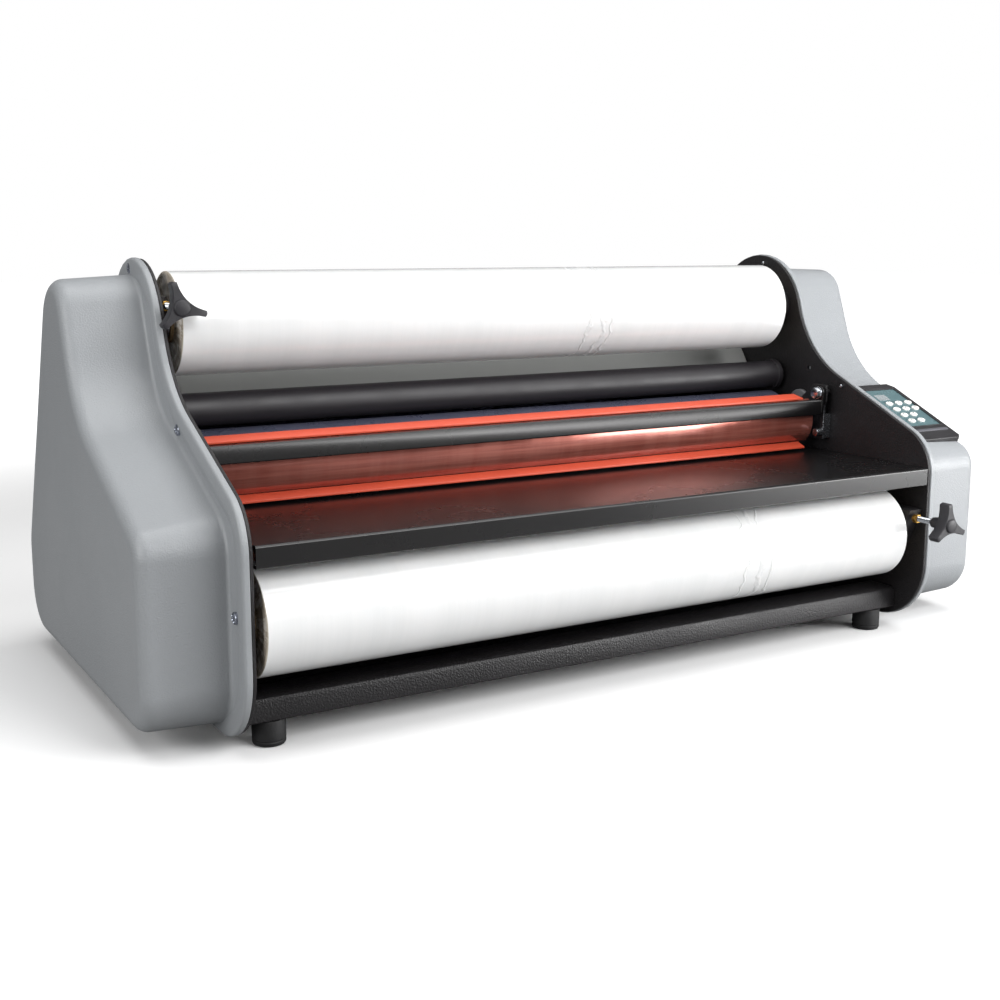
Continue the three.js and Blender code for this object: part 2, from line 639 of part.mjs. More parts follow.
function addControlPanel() {
  const face = new THREE.Group();
  face.position.set(0, panelOrigin.y, panelOrigin.z);
  face.rotation.x = slopeAngle;
  assembly.add(face);

  const { left, right, low, high, depth, recess } = panel;
  const outline = new THREE.Shape();
  outline.moveTo(left, low);
  outline.lineTo(right - 4, low);
  outline.lineTo(right, low + 4);
  outline.lineTo(right, high - 8);
  outline.lineTo(right - 6, high);
  outline.lineTo(left, high);
  const housing = upward(outline, depth, 1.2, 1).translate(0, 0, -depth);
  const labelRecess = boxBetween([left + 8, right - 6], [-69, 11], [-recess, 1]);
  const wells = [];
  const caps = [];
  buttonRows.forEach((y, row) => {
    for (let column = 0; column < buttonsInRow[row]; column++) {
      const x = buttonColumns[column];
      const well = upward(ovalShape(button.width + 0.8, button.depth + 0.8), depth + 2, 0, 10);
      wells.push(well.translate(x, y, -depth - 1));
      const cap = upward(ovalShape(button.width, button.depth), button.root + button.proud, 0.6, 10);
      caps.push(cap.translate(x, y, -button.root));
    }
  });
  addPart('panel_housing', cut(housing, labelRecess, ...wells), 'blackPaint', face);
  caps.forEach((cap, i) => addPart(`panel_button_${i + 1}`, cap, 'buttonWhite', face));
  addPart('control_board', boxBetween([left + 8, right - 14], [-62, 2], [-27, -25.4]), 'boardGreen', face);
}

addPlates();
addSideCovers();
addBase();
addSupplyRolls();
addRollers();
addDrive();
addShoes();
addSheetMetal();
addPower();
addControlPanel();

// Origin: the middle of the footprint, on the floor
laminator.updateMatrixWorld(true);
const centre = new THREE.Box3().setFromObject(assembly).getCenter(new THREE.Vector3());
assembly.position.set(-centre.x, -centre.y, 0);

export default laminator;
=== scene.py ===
# Tabletop roll laminator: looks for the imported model, built around its moving bodies.
# Shapes are drawn in millimetres from the machine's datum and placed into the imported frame.

import json
import math

import bmesh
import bpy
from mathutils import Matrix, Vector


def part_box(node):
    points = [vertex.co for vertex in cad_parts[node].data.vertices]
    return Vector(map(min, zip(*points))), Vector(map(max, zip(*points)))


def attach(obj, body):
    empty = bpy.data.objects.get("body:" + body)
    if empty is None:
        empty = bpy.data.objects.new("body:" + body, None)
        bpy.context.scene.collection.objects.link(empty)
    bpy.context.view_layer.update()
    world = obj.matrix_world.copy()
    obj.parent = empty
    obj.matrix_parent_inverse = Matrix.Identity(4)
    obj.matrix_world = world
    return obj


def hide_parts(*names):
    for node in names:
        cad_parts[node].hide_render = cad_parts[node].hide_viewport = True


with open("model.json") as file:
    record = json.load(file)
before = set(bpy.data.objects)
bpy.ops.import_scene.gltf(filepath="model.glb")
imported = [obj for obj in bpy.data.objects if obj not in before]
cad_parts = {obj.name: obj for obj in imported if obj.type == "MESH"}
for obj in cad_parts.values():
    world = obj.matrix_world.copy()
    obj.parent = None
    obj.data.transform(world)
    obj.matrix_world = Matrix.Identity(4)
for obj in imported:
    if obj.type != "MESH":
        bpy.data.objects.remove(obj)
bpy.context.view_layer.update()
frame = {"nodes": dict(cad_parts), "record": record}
scene = bpy.context.scene
nodes = frame["nodes"]
bodyOf = {node: body for body, members in frame["record"]["behaviour"]["bodies"].items() for node in members}
slotOf = {part["node"]: part["material_slot"] for part in frame["record"]["subparts"]}

# The datum: midway between the side plates, 8 mm in front of the upper roll's axis, on the floor
leftPlate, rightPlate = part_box("side_plate_left"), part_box("side_plate_right")
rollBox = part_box("upper_film_roll")
datum = Vector(((leftPlate[1].x + rightPlate[0].x) / 2, (rollBox[0].y + rollBox[1].y) / 2 - 0.008, 0))
toRow = Matrix.Translation(datum) @ Matrix.Scale(0.001, 4)
fromRow = toRow.inverted()
print("frame loaded:", len(nodes), "nodes")

# Camera first, at the height and turn of the studio view
cameraSetup = {"place": (-705.4, -1179.7, 402.5), "turn": 30.23, "pitch": -9.79, "lens": 48.5,
               "shift": (0.004, -0.023)}
cameraData = bpy.data.cameras.new("studioCamera")
cameraData.lens = cameraSetup["lens"]
cameraData.shift_x, cameraData.shift_y = cameraSetup["shift"]
cameraData.clip_end = 50
camera = bpy.data.objects.new("studioCamera", cameraData)
scene.collection.objects.link(camera)
camera.location = toRow @ Vector(cameraSetup["place"])
camera.rotation_euler = (math.radians(90 + cameraSetup["pitch"]), 0, math.radians(-cameraSetup["turn"]))
scene.camera = camera


def srgb(red, green, blue):
    channels = [value / 255 for value in (red, green, blue)]
    linear = [c / 12.92 if c <= 0.04045 else ((c + 0.055) / 1.055) ** 2.4 for c in channels]
    return (*linear, 1)


class NodeSketch:
    # Adds and joins nodes in one tree

    def __init__(self, tree):
        self.tree = tree

    def add(self, kind, **settings):
        node = self.tree.nodes.new(kind)
        for key, value in settings.items():
            setattr(node, key, value)
        return node

    def join(self, source, target):
        self.tree.links.new(source, target)

    def math(self, operation, first, second=None, clamp=False):
        node = self.add("ShaderNodeMath", operation=operation, use_clamp=clamp)
        for socket, value in zip(node.inputs, (first, second)):
            if isinstance(value, (int, float)):
                socket.default_value = value
            elif value is not None:
                self.join(value, socket)
        return node.outputs[0]

    def mapRange(self, value, low, high, toLow=0.0, toHigh=1.0, smooth=False):
        node = self.add("ShaderNodeMapRange", interpolation_type="SMOOTHSTEP" if smooth else "LINEAR")
        self.join(value, node.inputs[0])
        for index, number in enumerate((low, high, toLow, toHigh), start=1):
            if isinstance(number, (int, float)):
                node.inputs[index].default_value = number
            else:
                self.join(number, node.inputs[index])
        return node.outputs[0]

    def mixColour(self, factor, first, second):
        node = self.add("ShaderNodeMix", data_type="RGBA")
        for socket, value in ((node.inputs[0], factor), (node.inputs[6], first), (node.inputs[7], second)):
            if isinstance(value, (int, float, tuple)):
                socket.default_value = value
            else:
                self.join(value, socket)
        return node.outputs[2]


def startGroup(name, inputs, outputs):
    tree = bpy.data.node_groups.new(name, "ShaderNodeTree")
    for socketName, kind, value in inputs:
        socket = tree.interface.new_socket(socketName, in_out="INPUT", socket_type=kind)
        if value is not None:
            socket.default_value = value
    for socketName, kind in outputs:
        tree.interface.new_socket(socketName, in_out="OUTPUT", socket_type=kind)
    sketch = NodeSketch(tree)
    return tree, sketch, sketch.add("NodeGroupInput"), sketch.add("NodeGroupOutput")


def buildGrainGroup():
    # Fine bumps of moulded or powder-coated skin, with a broad unevenness under them
    tree, sketch, given, made = startGroup("skinGrain", [
        ("Vector", "NodeSocketVector", None), ("Grain Size", "NodeSocketFloat", 0.001),
        ("Sharpness", "NodeSocketFloat", 0.5), ("Waviness", "NodeSocketFloat", 0.2)],
        [("Height", "NodeSocketFloat"), ("Mask", "NodeSocketFloat")])
    scale = sketch.math("DIVIDE", 1.0, given.outputs["Grain Size"])
    fine = sketch.add("ShaderNodeTexNoise", noise_dimensions="3D")
    fine.inputs["Detail"].default_value = 3
    sketch.join(given.outputs["Vector"], fine.inputs["Vector"])
    sketch.join(scale, fine.inputs["Scale"])
    cells = sketch.add("ShaderNodeTexVoronoi", feature="SMOOTH_F1")
    sketch.join(given.outputs["Vector"], cells.inputs["Vector"])
    sketch.join(scale, cells.inputs["Scale"])
    broad = sketch.add("ShaderNodeTexNoise")
    broad.inputs["Scale"].default_value = 14
    sketch.join(given.outputs["Vector"], broad.inputs["Vector"])
    cellPart = sketch.math("MULTIPLY", cells.outputs["Distance"], given.outputs["Sharpness"])
    pebbles = sketch.math("ADD", fine.outputs["Fac"], cellPart)
    swell = sketch.math("MULTIPLY", broad.outputs["Fac"], given.outputs["Waviness"])
    sketch.join(sketch.math("ADD", pebbles, swell), made.inputs["Height"])
    sketch.join(sketch.mapRange(pebbles, 0.35, 0.95), made.inputs["Mask"])
    return tree


def buildWearGroup():
    # Uneven tone, faint smudges and settled dust on faces that look up
    tree, sketch, given, made = startGroup("handledSurface", [
        ("Vector", "NodeSocketVector", None), ("Colour", "NodeSocketColor", (0.5, 0.5, 0.5, 1)),
        ("Tint", "NodeSocketColor", (0.4, 0.4, 0.4, 1)), ("Patch Size", "NodeSocketFloat", 0.1),
        ("Amount", "NodeSocketFloat", 0.3), ("Dust", "NodeSocketFloat", 0.05)],
        [("Colour", "NodeSocketColor"), ("Smudge", "NodeSocketFloat")])
    scale = sketch.math("DIVIDE", 1.0, given.outputs["Patch Size"])
    patches = sketch.add("ShaderNodeTexNoise")
    patches.inputs["Detail"].default_value = 6
    patches.inputs["Roughness"].default_value = 0.6
    sketch.join(given.outputs["Vector"], patches.inputs["Vector"])
    sketch.join(scale, patches.inputs["Scale"])
    smudge = sketch.mapRange(patches.outputs["Fac"], 0.35, 0.7, smooth=True)
    toned = sketch.mixColour(sketch.math("MULTIPLY", smudge, given.outputs["Amount"]),
                             given.outputs["Colour"], given.outputs["Tint"])
    facing = sketch.add("ShaderNodeSeparateXYZ")
    sketch.join(sketch.add("ShaderNodeNewGeometry").outputs["Normal"], facing.inputs[0])
    speckle = sketch.add("ShaderNodeTexNoise")
    speckle.inputs["Scale"].default_value = 900
    speckle.inputs["Detail"].default_value = 4
    sketch.join(given.outputs["Vector"], speckle.inputs["Vector"])
    settled = sketch.math("MULTIPLY", sketch.mapRange(facing.outputs["Z"], 0.4, 1.0),
                          sketch.mapRange(speckle.outputs["Fac"], 0.55, 0.75))
    dusty = sketch.math("MULTIPLY", settled, given.outputs["Dust"], clamp=True)
    sketch.join(sketch.mixColour(dusty, toned, (0.55, 0.53, 0.5, 1)), made.inputs["Colour"])
    sketch.join(smudge, made.inputs["Smudge"])
    return tree


def buildStreakGroup():
    # Long fine lines, such as brushing, rubbing or the lie of a wound film
    tree, sketch, given, made = startGroup("drawnLines", [
        ("Vector", "NodeSocketVector", None), ("Stretch", "NodeSocketVector", (1, 1, 1)),
        ("Line Size", "NodeSocketFloat", 0.001), ("Contrast", "NodeSocketFloat", 0.2)],
        [("Lines", "NodeSocketFloat"), ("Height", "NodeSocketFloat")])
    stretched = sketch.add("ShaderNodeVectorMath", operation="MULTIPLY")
    sketch.join(given.outputs["Vector"], stretched.inputs[0])
    sketch.join(given.outputs["Stretch"], stretched.inputs[1])
    noise = sketch.add("ShaderNodeTexNoise")
    noise.inputs["Detail"].default_value = 5
    noise.inputs["Roughness"].default_value = 0.65
    sketch.join(stretched.outputs[0], noise.inputs["Vector"])
    sketch.join(sketch.math("DIVIDE", 1.0, given.outputs["Line Size"]), noise.inputs["Scale"])
    half = sketch.math("MULTIPLY", given.outputs["Contrast"], 0.5)
    low = sketch.math("SUBTRACT", 0.5, half)
    high = sketch.math("ADD", 0.5, half)
    sketch.join(sketch.mapRange(noise.outputs["Fac"], low, high, smooth=True), made.inputs["Lines"])
    sketch.join(noise.outputs["Fac"], made.inputs["Height"])
    return tree


grainGroup = buildGrainGroup()
wearGroup = buildWearGroup()
streakGroup = buildStreakGroup()


def startMaterial(name, roughness, metallic=0.0, **sockets):
    material = bpy.data.materials.new(name)
    material.use_nodes = True
    sketch = NodeSketch(material.node_tree)
    shader = material.node_tree.nodes["Principled BSDF"]
    shader.inputs["Roughness"].default_value = roughness
    shader.inputs["Metallic"].default_value = metallic
    for key, value in sockets.items():
        shader.inputs[key.replace("_", " ")].default_value = value
    where = sketch.add("ShaderNodeTexCoord").outputs["Object"]
    return material, sketch, shader, where


def useGroup(sketch, tree, where, **values):
    node = sketch.add("ShaderNodeGroup", node_tree=tree)
    sketch.join(where, node.inputs["Vector"])
    for key, value in values.items():
        node.inputs[key.replace("_", " ")].default_value = value
    return node


def bumpInto(sketch, shader, height, distance, strength=1.0):
    bump = sketch.add("ShaderNodeBump")
    bump.inputs["Distance"].default_value = distance
    bump.inputs["Strength"].default_value = strength
    sketch.join(height, bump.inputs["Height"])
    sketch.join(bump.outputs["Normal"], shader.inputs["Normal"])


def makeSkin(name, look):
    # A moulded, painted or rubber surface: toned colour, grain and a smudged gloss
    material, sketch, shader, where = startMaterial(name, look["gloss"][0], look.get("metallic", 0.0),
                                                    **look.get("sockets", {}))
    wear = useGroup(sketch, wearGroup, where, Colour=look["colour"], Tint=look["tint"],
                    Patch_Size=look.get("patch", 0.12), Amount=look.get("amount", 0.35),
                    Dust=look.get("dust", 0.05))
    sketch.join(wear.outputs["Colour"], shader.inputs["Base Color"])
    grain = useGroup(sketch, grainGroup, where, Grain_Size=look["grain"], Sharpness=look.get("sharpness", 0.5),
                     Waviness=look.get("waviness", 0.15))
    bumpInto(sketch, shader, grain.outputs["Height"], look["relief"], look.get("strength", 1.0))
    smudged = sketch.mapRange(wear.outputs["Smudge"], 0, 1, look["gloss"][0], look["gloss"][1])
    sketch.join(smudged, shader.inputs["Roughness"])
    return material


def makeDrawnMetal(name, look):
    # Plated or turned metal with fine lines along or round it
    material, sketch, shader, where = startMaterial(name, look["gloss"][0], 1.0)
    lines = useGroup(sketch, streakGroup, where, Stretch=look["stretch"], Line_Size=look["line"], Contrast=0.5)
    tone = sketch.mixColour(lines.outputs["Lines"], look["colour"], look["tint"])
    sketch.join(tone, shader.inputs["Base Color"])
    sketch.join(sketch.mapRange(lines.outputs["Lines"], 0, 1, *look["gloss"]), shader.inputs["Roughness"])
    bumpInto(sketch, shader, lines.outputs["Height"], look["relief"])
    return material


skins = {
    "coverGrey": {"colour": srgb(146, 149, 152), "tint": srgb(138, 141, 144), "gloss": (0.36, 0.44),
                  "grain": 0.0013, "relief": 0.0003, "patch": 0.16, "dust": 0.08},
    "powderBlack": {"colour": srgb(24, 22, 24), "tint": srgb(32, 30, 33), "gloss": (0.46, 0.58),
                    "grain": 0.0016, "relief": 0.0004, "sharpness": 0.9, "dust": 0.02},
    "hoodGrey": {"colour": srgb(158, 159, 157), "tint": srgb(146, 147, 145), "gloss": (0.38, 0.48),
                 "grain": 0.0008, "relief": 0.00006, "dust": 0.1},
    "enamelBlack": {"colour": srgb(13, 12, 13), "tint": srgb(17, 15, 16), "gloss": (0.25, 0.29),
                    "grain": 0.004, "relief": 0.000002, "patch": 0.2, "dust": 0.008,
                    "sockets": {"Specular_IOR_Level": 0.5}},
    "footRubber": {"colour": srgb(16, 16, 18), "tint": srgb(24, 23, 24), "gloss": (0.62, 0.75),
                   "grain": 0.0014, "relief": 0.00012, "patch": 0.02, "dust": 0.04},
    "knobBlack": {"colour": srgb(36, 35, 39), "tint": srgb(46, 45, 50), "gloss": (0.45, 0.58),
                  "grain": 0.0007, "relief": 0.00007, "patch": 0.02},
    "housingBlack": {"colour": srgb(34, 33, 35), "tint": srgb(44, 43, 46), "gloss": (0.36, 0.5),
                     "grain": 0.0008, "relief": 0.00008, "patch": 0.05},
    "idlerBlack": {"colour": srgb(34, 31, 35), "tint": srgb(27, 24, 28), "gloss": (0.44, 0.54),
                   "grain": 0.0008, "relief": 0.00008, "patch": 0.05, "sockets": {"Specular_IOR_Level": 0.5}},
    "siliconeRoller": {"colour": srgb(62, 64, 80), "tint": srgb(76, 78, 94), "gloss": (0.24, 0.36),
                       "grain": 0.003, "relief": 0.00004, "patch": 0.06, "dust": 0.1},
    "stripOrange": {"colour": srgb(202, 78, 52), "tint": srgb(182, 64, 42), "gloss": (0.4, 0.5),
                    "grain": 0.0012, "relief": 0.00006, "patch": 0.05},
    "labelTeal": {"colour": srgb(84, 108, 112), "tint": srgb(74, 97, 102), "gloss": (0.26, 0.36),
                  "grain": 0.0007, "relief": 0.00002, "patch": 0.03, "dust": 0.02},
    "windowGrey": {"colour": srgb(142, 148, 150), "tint": srgb(120, 128, 132), "gloss": (0.12, 0.2),
                   "grain": 0.004, "relief": 0.00001, "patch": 0.02, "dust": 0.0},
    "buttonIvory": {"colour": srgb(238, 239, 236), "tint": srgb(226, 226, 220), "gloss": (0.34, 0.44),
                    "grain": 0.0012, "relief": 0.00002, "patch": 0.006, "dust": 0.03},
    "ledgeGrey": {"colour": srgb(92, 92, 98), "tint": srgb(74, 74, 80), "gloss": (0.28, 0.36),
                  "grain": 0.0008, "relief": 0.00003, "patch": 0.02},
    "symbolInk": {"colour": srgb(24, 28, 30), "tint": srgb(34, 38, 42), "gloss": (0.5, 0.6),
                  "grain": 0.001, "relief": 0.00001, "patch": 0.01},
    "gearNylon": {"colour": srgb(222, 219, 208), "tint": srgb(206, 201, 186), "gloss": (0.4, 0.55),
                  "grain": 0.0015, "relief": 0.00005, "patch": 0.03},
    "boardGreen": {"colour": srgb(38, 96, 62), "tint": srgb(28, 76, 48), "gloss": (0.3, 0.42),
                   "grain": 0.0012, "relief": 0.00003, "patch": 0.02},
    "motorGrey": {"colour": srgb(62, 62, 66), "tint": srgb(48, 48, 52), "gloss": (0.35, 0.5), "metallic": 0.6,
                  "grain": 0.001, "relief": 0.00005, "patch": 0.03},
    "bushGrey": {"colour": srgb(104, 104, 106), "tint": srgb(88, 88, 92), "gloss": (0.4, 0.52),
                 "grain": 0.001, "relief": 0.00005, "patch": 0.01},
    "cardCore": {"colour": srgb(176, 150, 112), "tint": srgb(146, 120, 86), "gloss": (0.8, 0.9),
                 "grain": 0.0016, "relief": 0.00015, "patch": 0.02, "amount": 0.7},
}
metals = {
    "zincBright": {"colour": srgb(205, 208, 212), "tint": srgb(172, 176, 184), "gloss": (0.16, 0.3),
                   "stretch": (1, 1, 1), "line": 0.002, "relief": 0.00001},
    "zincDark": {"colour": srgb(176, 181, 192), "tint": srgb(128, 132, 144), "gloss": (0.14, 0.24),
                 "stretch": (1, 1, 1), "line": 0.002, "relief": 0.00001},
    "mandrelSteel": {"colour": srgb(196, 198, 202), "tint": srgb(160, 162, 168), "gloss": (0.22, 0.34),
                     "stretch": (0.05, 1, 1), "line": 0.0012, "relief": 0.00002},
    "brassNut": {"colour": srgb(214, 172, 92), "tint": srgb(176, 132, 62), "gloss": (0.2, 0.34),
                 "stretch": (1, 0.2, 1), "line": 0.001, "relief": 0.00001},
}
finish = {name: makeSkin(name, look) for name, look in skins.items()}
finish.update({name: makeDrawnMetal(name, look) for name, look in metals.items()})


def makeShoeFinish():
    # Copper-brown release coating with rubbed lines along the sheet's path and along the shoe
    look = {"deep": srgb(140, 74, 64), "bright": srgb(180, 104, 90), "rub": srgb(200, 140, 126)}
    material, sketch, shader, where = startMaterial("shoeCoating", 0.2, 0.55, Coat_Weight=0.5, Coat_Roughness=0.1)
    along = useGroup(sketch, streakGroup, where, Stretch=(0.03, 1, 1), Line_Size=0.004, Contrast=0.5)
    across = useGroup(sketch, streakGroup, where, Stretch=(1, 0.08, 0.08), Line_Size=0.016, Contrast=0.3)
    base = sketch.mixColour(along.outputs["Lines"], look["deep"], look["bright"])
    rubbed = sketch.math("MULTIPLY", across.outputs["Lines"], 0.12)
    sketch.join(sketch.mixColour(rubbed, base, look["rub"]), shader.inputs["Base Color"])
    sketch.join(sketch.mapRange(across.outputs["Lines"], 0, 1, 0.18, 0.26), shader.inputs["Roughness"])
    bumpInto(sketch, shader, along.outputs["Height"], 0.00004)
    return material


def makeFilmSide(name, roll):
    # The wound film seen from its side: nearly white, glossy, with rings of tension and a few creased bands, darkened
    # with painted shade in the folds
    material, sketch, shader, where = startMaterial(name, 0.2, 0.0, Coat_Weight=0.6, Coat_Roughness=0.06,
                                                    Subsurface_Weight=0.15, Subsurface_Scale=0.004)
    shader.inputs["Subsurface Radius"].default_value = (1.0, 0.9, 0.8)
    rings = useGroup(sketch, streakGroup, where, Stretch=(1, 0.04, 0.04), Line_Size=0.03, Contrast=0.6)
    base = sketch.mixColour(rings.outputs["Lines"], srgb(228, 228, 228), srgb(220, 221, 221))
    split = sketch.add("ShaderNodeSeparateXYZ")
    sketch.join(where, split.inputs[0])
    warp = sketch.add("ShaderNodeTexNoise")
    warp.inputs["Scale"].default_value = 26
    warp.inputs["Detail"].default_value = 5
    sketch.join(where, warp.inputs["Vector"])
    wander = sketch.math("MULTIPLY", sketch.math("SUBTRACT", warp.outputs["Fac"], 0.5), 0.05)
    creaseBandsAndShade = None
    for aside, width in ((0, 0.0012), (0.011, 0.0008), (-0.017, 0.0008)):
        offset = roll["crease"] + aside
        along = sketch.math("SUBTRACT", split.outputs["X"], offset)
        away = sketch.math("ABSOLUTE", sketch.math("ADD", along, wander))
        line = sketch.mapRange(away, 0.0, width * 3, 1.0, 0.0, smooth=True)
        creaseBandsAndShade = line if creaseBandsAndShade is None else sketch.math("MAXIMUM", creaseBandsAndShade, line)
    # creased bands: real bump and rougher gloss, plus painted shade that darkens them toward grey
    sketch.join(sketch.mixColour(sketch.math("MULTIPLY", creaseBandsAndShade, 0.22), base, srgb(196, 197, 198)),
                shader.inputs["Base Color"])
    sketch.join(sketch.mapRange(creaseBandsAndShade, 0, 1, 0.2, 0.4), shader.inputs["Roughness"])
    relief = sketch.math("ADD", sketch.math("MULTIPLY", rings.outputs["Height"], 0.5), creaseBandsAndShade)
    bumpInto(sketch, shader, relief, 0.0005)
    return material


def makeFilmEnd(name, axisPoint):
    # The wound edges at a roll's end: fine rings, with pale fans of painted highlight over darker beige; the fans
    # stand in for the radial sheen of the wound edges
    material, sketch, shader, where = startMaterial(name, 0.3, 0.0, Coat_Weight=0.3, Coat_Roughness=0.15)
    centred = sketch.add("ShaderNodeMapping", vector_type="POINT")
    centred.inputs["Location"].default_value = (0, -axisPoint.y, -axisPoint.z)
    sketch.join(where, centred.inputs["Vector"])
    split = sketch.add("ShaderNodeSeparateXYZ")
    sketch.join(centred.outputs[0], split.inputs[0])
    angle = sketch.math("ARCTAN2", split.outputs["Z"], split.outputs["Y"])
    squared = sketch.math("ADD", sketch.math("MULTIPLY", split.outputs["Y"], split.outputs["Y"]),
                          sketch.math("MULTIPLY", split.outputs["Z"], split.outputs["Z"]))
    radius = sketch.math("SQRT", squared)
    polar = sketch.add("ShaderNodeCombineXYZ")
    sketch.join(sketch.math("SINE", angle), polar.inputs[0])
    sketch.join(sketch.math("COSINE", angle), polar.inputs[1])
    sketch.join(sketch.math("MULTIPLY", radius, 9.0), polar.inputs[2])
    fanHighlightNoise = sketch.add("ShaderNodeTexNoise")
    fanHighlightNoise.inputs["Scale"].default_value = 3.4
    fanHighlightNoise.inputs["Detail"].default_value = 7
    fanHighlightNoise.inputs["Roughness"].default_value = 0.72
    sketch.join(polar.outputs[0], fanHighlightNoise.inputs["Vector"])
    rings = sketch.add("ShaderNodeTexNoise", noise_dimensions="1D")
    rings.inputs["Scale"].default_value = 1500
    rings.inputs["Detail"].default_value = 3
    sketch.join(radius, rings.inputs["W"])
    fanHighlightMask = sketch.mapRange(fanHighlightNoise.outputs["Fac"], 0.42, 0.62, smooth=True)
    # pale fans: painted highlight for the radial sheen on the wound film edges
    base = sketch.mixColour(fanHighlightMask, srgb(206, 194, 178), srgb(250, 247, 242))
    ringed = sketch.mixColour(sketch.math("MULTIPLY", rings.outputs["Fac"], 0.3), base, srgb(168, 152, 134))
    outer = sketch.mapRange(radius, 0.041, 0.0462, 0, 1)
    sketch.join(sketch.mixColour(outer, ringed, srgb(196, 186, 170)), shader.inputs["Base Color"])
    sketch.join(sketch.mapRange(fanHighlightMask, 0, 1, 0.22, 0.4), shader.inputs["Roughness"])
    bumpInto(sketch, shader, rings.outputs["Fac"], 0.0002)
    return material


finish["shoeCoating"] = makeShoeFinish()
print("finishes made:", len(finish))


def meshFrom(name, shape):
    # Frees a drawn shape into a mesh
    mesh = bpy.data.meshes.new(name)
    shape.to_mesh(mesh)
    shape.free()
    return mesh


def bakeModifiers(piece):
    # Turns the modified result into the piece's own plain mesh
    evaluated = piece.evaluated_get(bpy.context.evaluated_depsgraph_get())
    mesh = bpy.data.meshes.new_from_object(evaluated)
    piece.modifiers.clear()
    piece.data = mesh
    mesh.name = piece.name
    return piece


def makePiece(name, shape, body, materials, slotName, replaced=(), smoothAngle=35, weighted=False,
              cutter=None):
    # Places a millimetre shape in the row frame and hangs it on its body
    shape.transform(toRow)
    mesh = meshFrom(name, shape)
    for material in materials:
        mesh.materials.append(material)
    mesh.shade_smooth()
    mesh.set_sharp_from_angle(angle=math.radians(smoothAngle))
    piece = bpy.data.objects.new(name, mesh)
    scene.collection.objects.link(piece)
    if cutter:
        modifier = piece.modifiers.new("pocket", "BOOLEAN")
        modifier.object = cutter
        modifier.operation = "DIFFERENCE"
        modifier.solver = "EXACT"
    if weighted:
        modifier = piece.modifiers.new("evenShading", "WEIGHTED_NORMAL")
        modifier.keep_sharp = True
    if cutter or weighted:
        bakeModifiers(piece)
    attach(piece, body)
    if replaced:
        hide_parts(*replaced)
    return piece


def bevelSharp(shape, width, segments=2, minAngle=25):
    edges = [edge for edge in shape.edges
             if len(edge.link_faces) == 2 and edge.calc_face_angle(0) > math.radians(minAngle)]
    if edges:
        bmesh.ops.bevel(shape, geom=edges, offset=width, segments=segments, profile=0.5, affect="EDGES",
                        clamp_overlap=True)


def reworkNode(node, material, bevel=0.0, segments=2, smoothAngle=35, minAngle=25, weighted=False):
    # A merged, edge-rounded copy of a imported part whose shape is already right
    shape = bmesh.new()
    shape.from_mesh(nodes[node].data)
    shape.transform(fromRow)
    bmesh.ops.remove_doubles(shape, verts=shape.verts, dist=0.003)
    bmesh.ops.dissolve_limit(shape, angle_limit=math.radians(0.5), verts=shape.verts, edges=shape.edges)
    if bevel:
        bevelSharp(shape, bevel, segments, minAngle)
    return makePiece(node + "_skin", shape, bodyOf[node], [material], slotOf[node], (node,), smoothAngle, weighted)


axisReach = 1e-6   # a radius below this is a point on the axis


def addRing(shape, points):
    return [shape.verts.new(point) for point in points]


def bridgeRings(shape, first, second):
    count = len(first)
    for i in range(count):
        j = (i + 1) % count
        shape.faces.new((first[i], first[j], second[j], second[i]))


def stackRings(shape, rings, capped=False):
    # Walls from each ring to the next, with a lid at both ends if it is capped
    for first, second in zip(rings, rings[1:]):
        bridgeRings(shape, first, second)
    if capped:
        shape.faces.new(rings[0])
        shape.faces.new(rings[-1])
        bmesh.ops.recalc_face_normals(shape, faces=shape.faces)
    return shape


def fillBetween(shape, *rings):
    # A flat face with holes, between rings that lie in one plane
    edges = []
    for ring in rings:
        for vertex, nextVertex in zip(ring, ring[1:] + ring[:1]):
            edges.append(shape.edges.get((vertex, nextVertex)) or shape.edges.new((vertex, nextVertex)))
    bmesh.ops.triangle_fill(shape, edges=edges, use_beauty=True)


def circlePoints(radius, segments):
    turns = [2 * math.pi * k / segments for k in range(segments)]
    return [(radius * math.cos(turn), radius * math.sin(turn)) for turn in turns]


def skinTurning(shape, pairs, segments, paint=None):
    # Walls between turned rings, where a ring of one point lies on the axis
    for index, (first, second) in enumerate(pairs):
        if len(first) == 1 and len(second) == 1:
            continue
        for k in range(segments):
            n = (k + 1) % segments
            if len(first) == 1:
                face = shape.faces.new((first[0], second[k], second[n]))
            elif len(second) == 1:
                face = shape.faces.new((first[k], second[0], first[n]))
            else:
                face = shape.faces.new((first[k], second[k], second[n], first[n]))
            face.material_index = paint[index] if paint else 0
    bmesh.ops.recalc_face_normals(shape, faces=shape.faces)
    return shape


def turned(profile, y, z, segments=64, closed=False, paint=None):
    # Turns (x, radius) points about the line along X through (y, z); radius 0 closes onto the axis
    shape = bmesh.new()
    rings = []
    for x, radius in profile:
        around = circlePoints(radius, segments) if radius > axisReach else [(0, 0)]
        rings.append(addRing(shape, [(x, y + a, z + b) for a, b in around]))
    return skinTurning(shape, list(zip(rings, rings[1:] + (rings[:1] if closed else []))), segments, paint)


def prismX(outline, x0, x1):
    # Pushes a (y, z) outline along X
    shape = bmesh.new()
    return stackRings(shape, [addRing(shape, [(x, y, z) for y, z in outline]) for x in (x0, x1)], True)


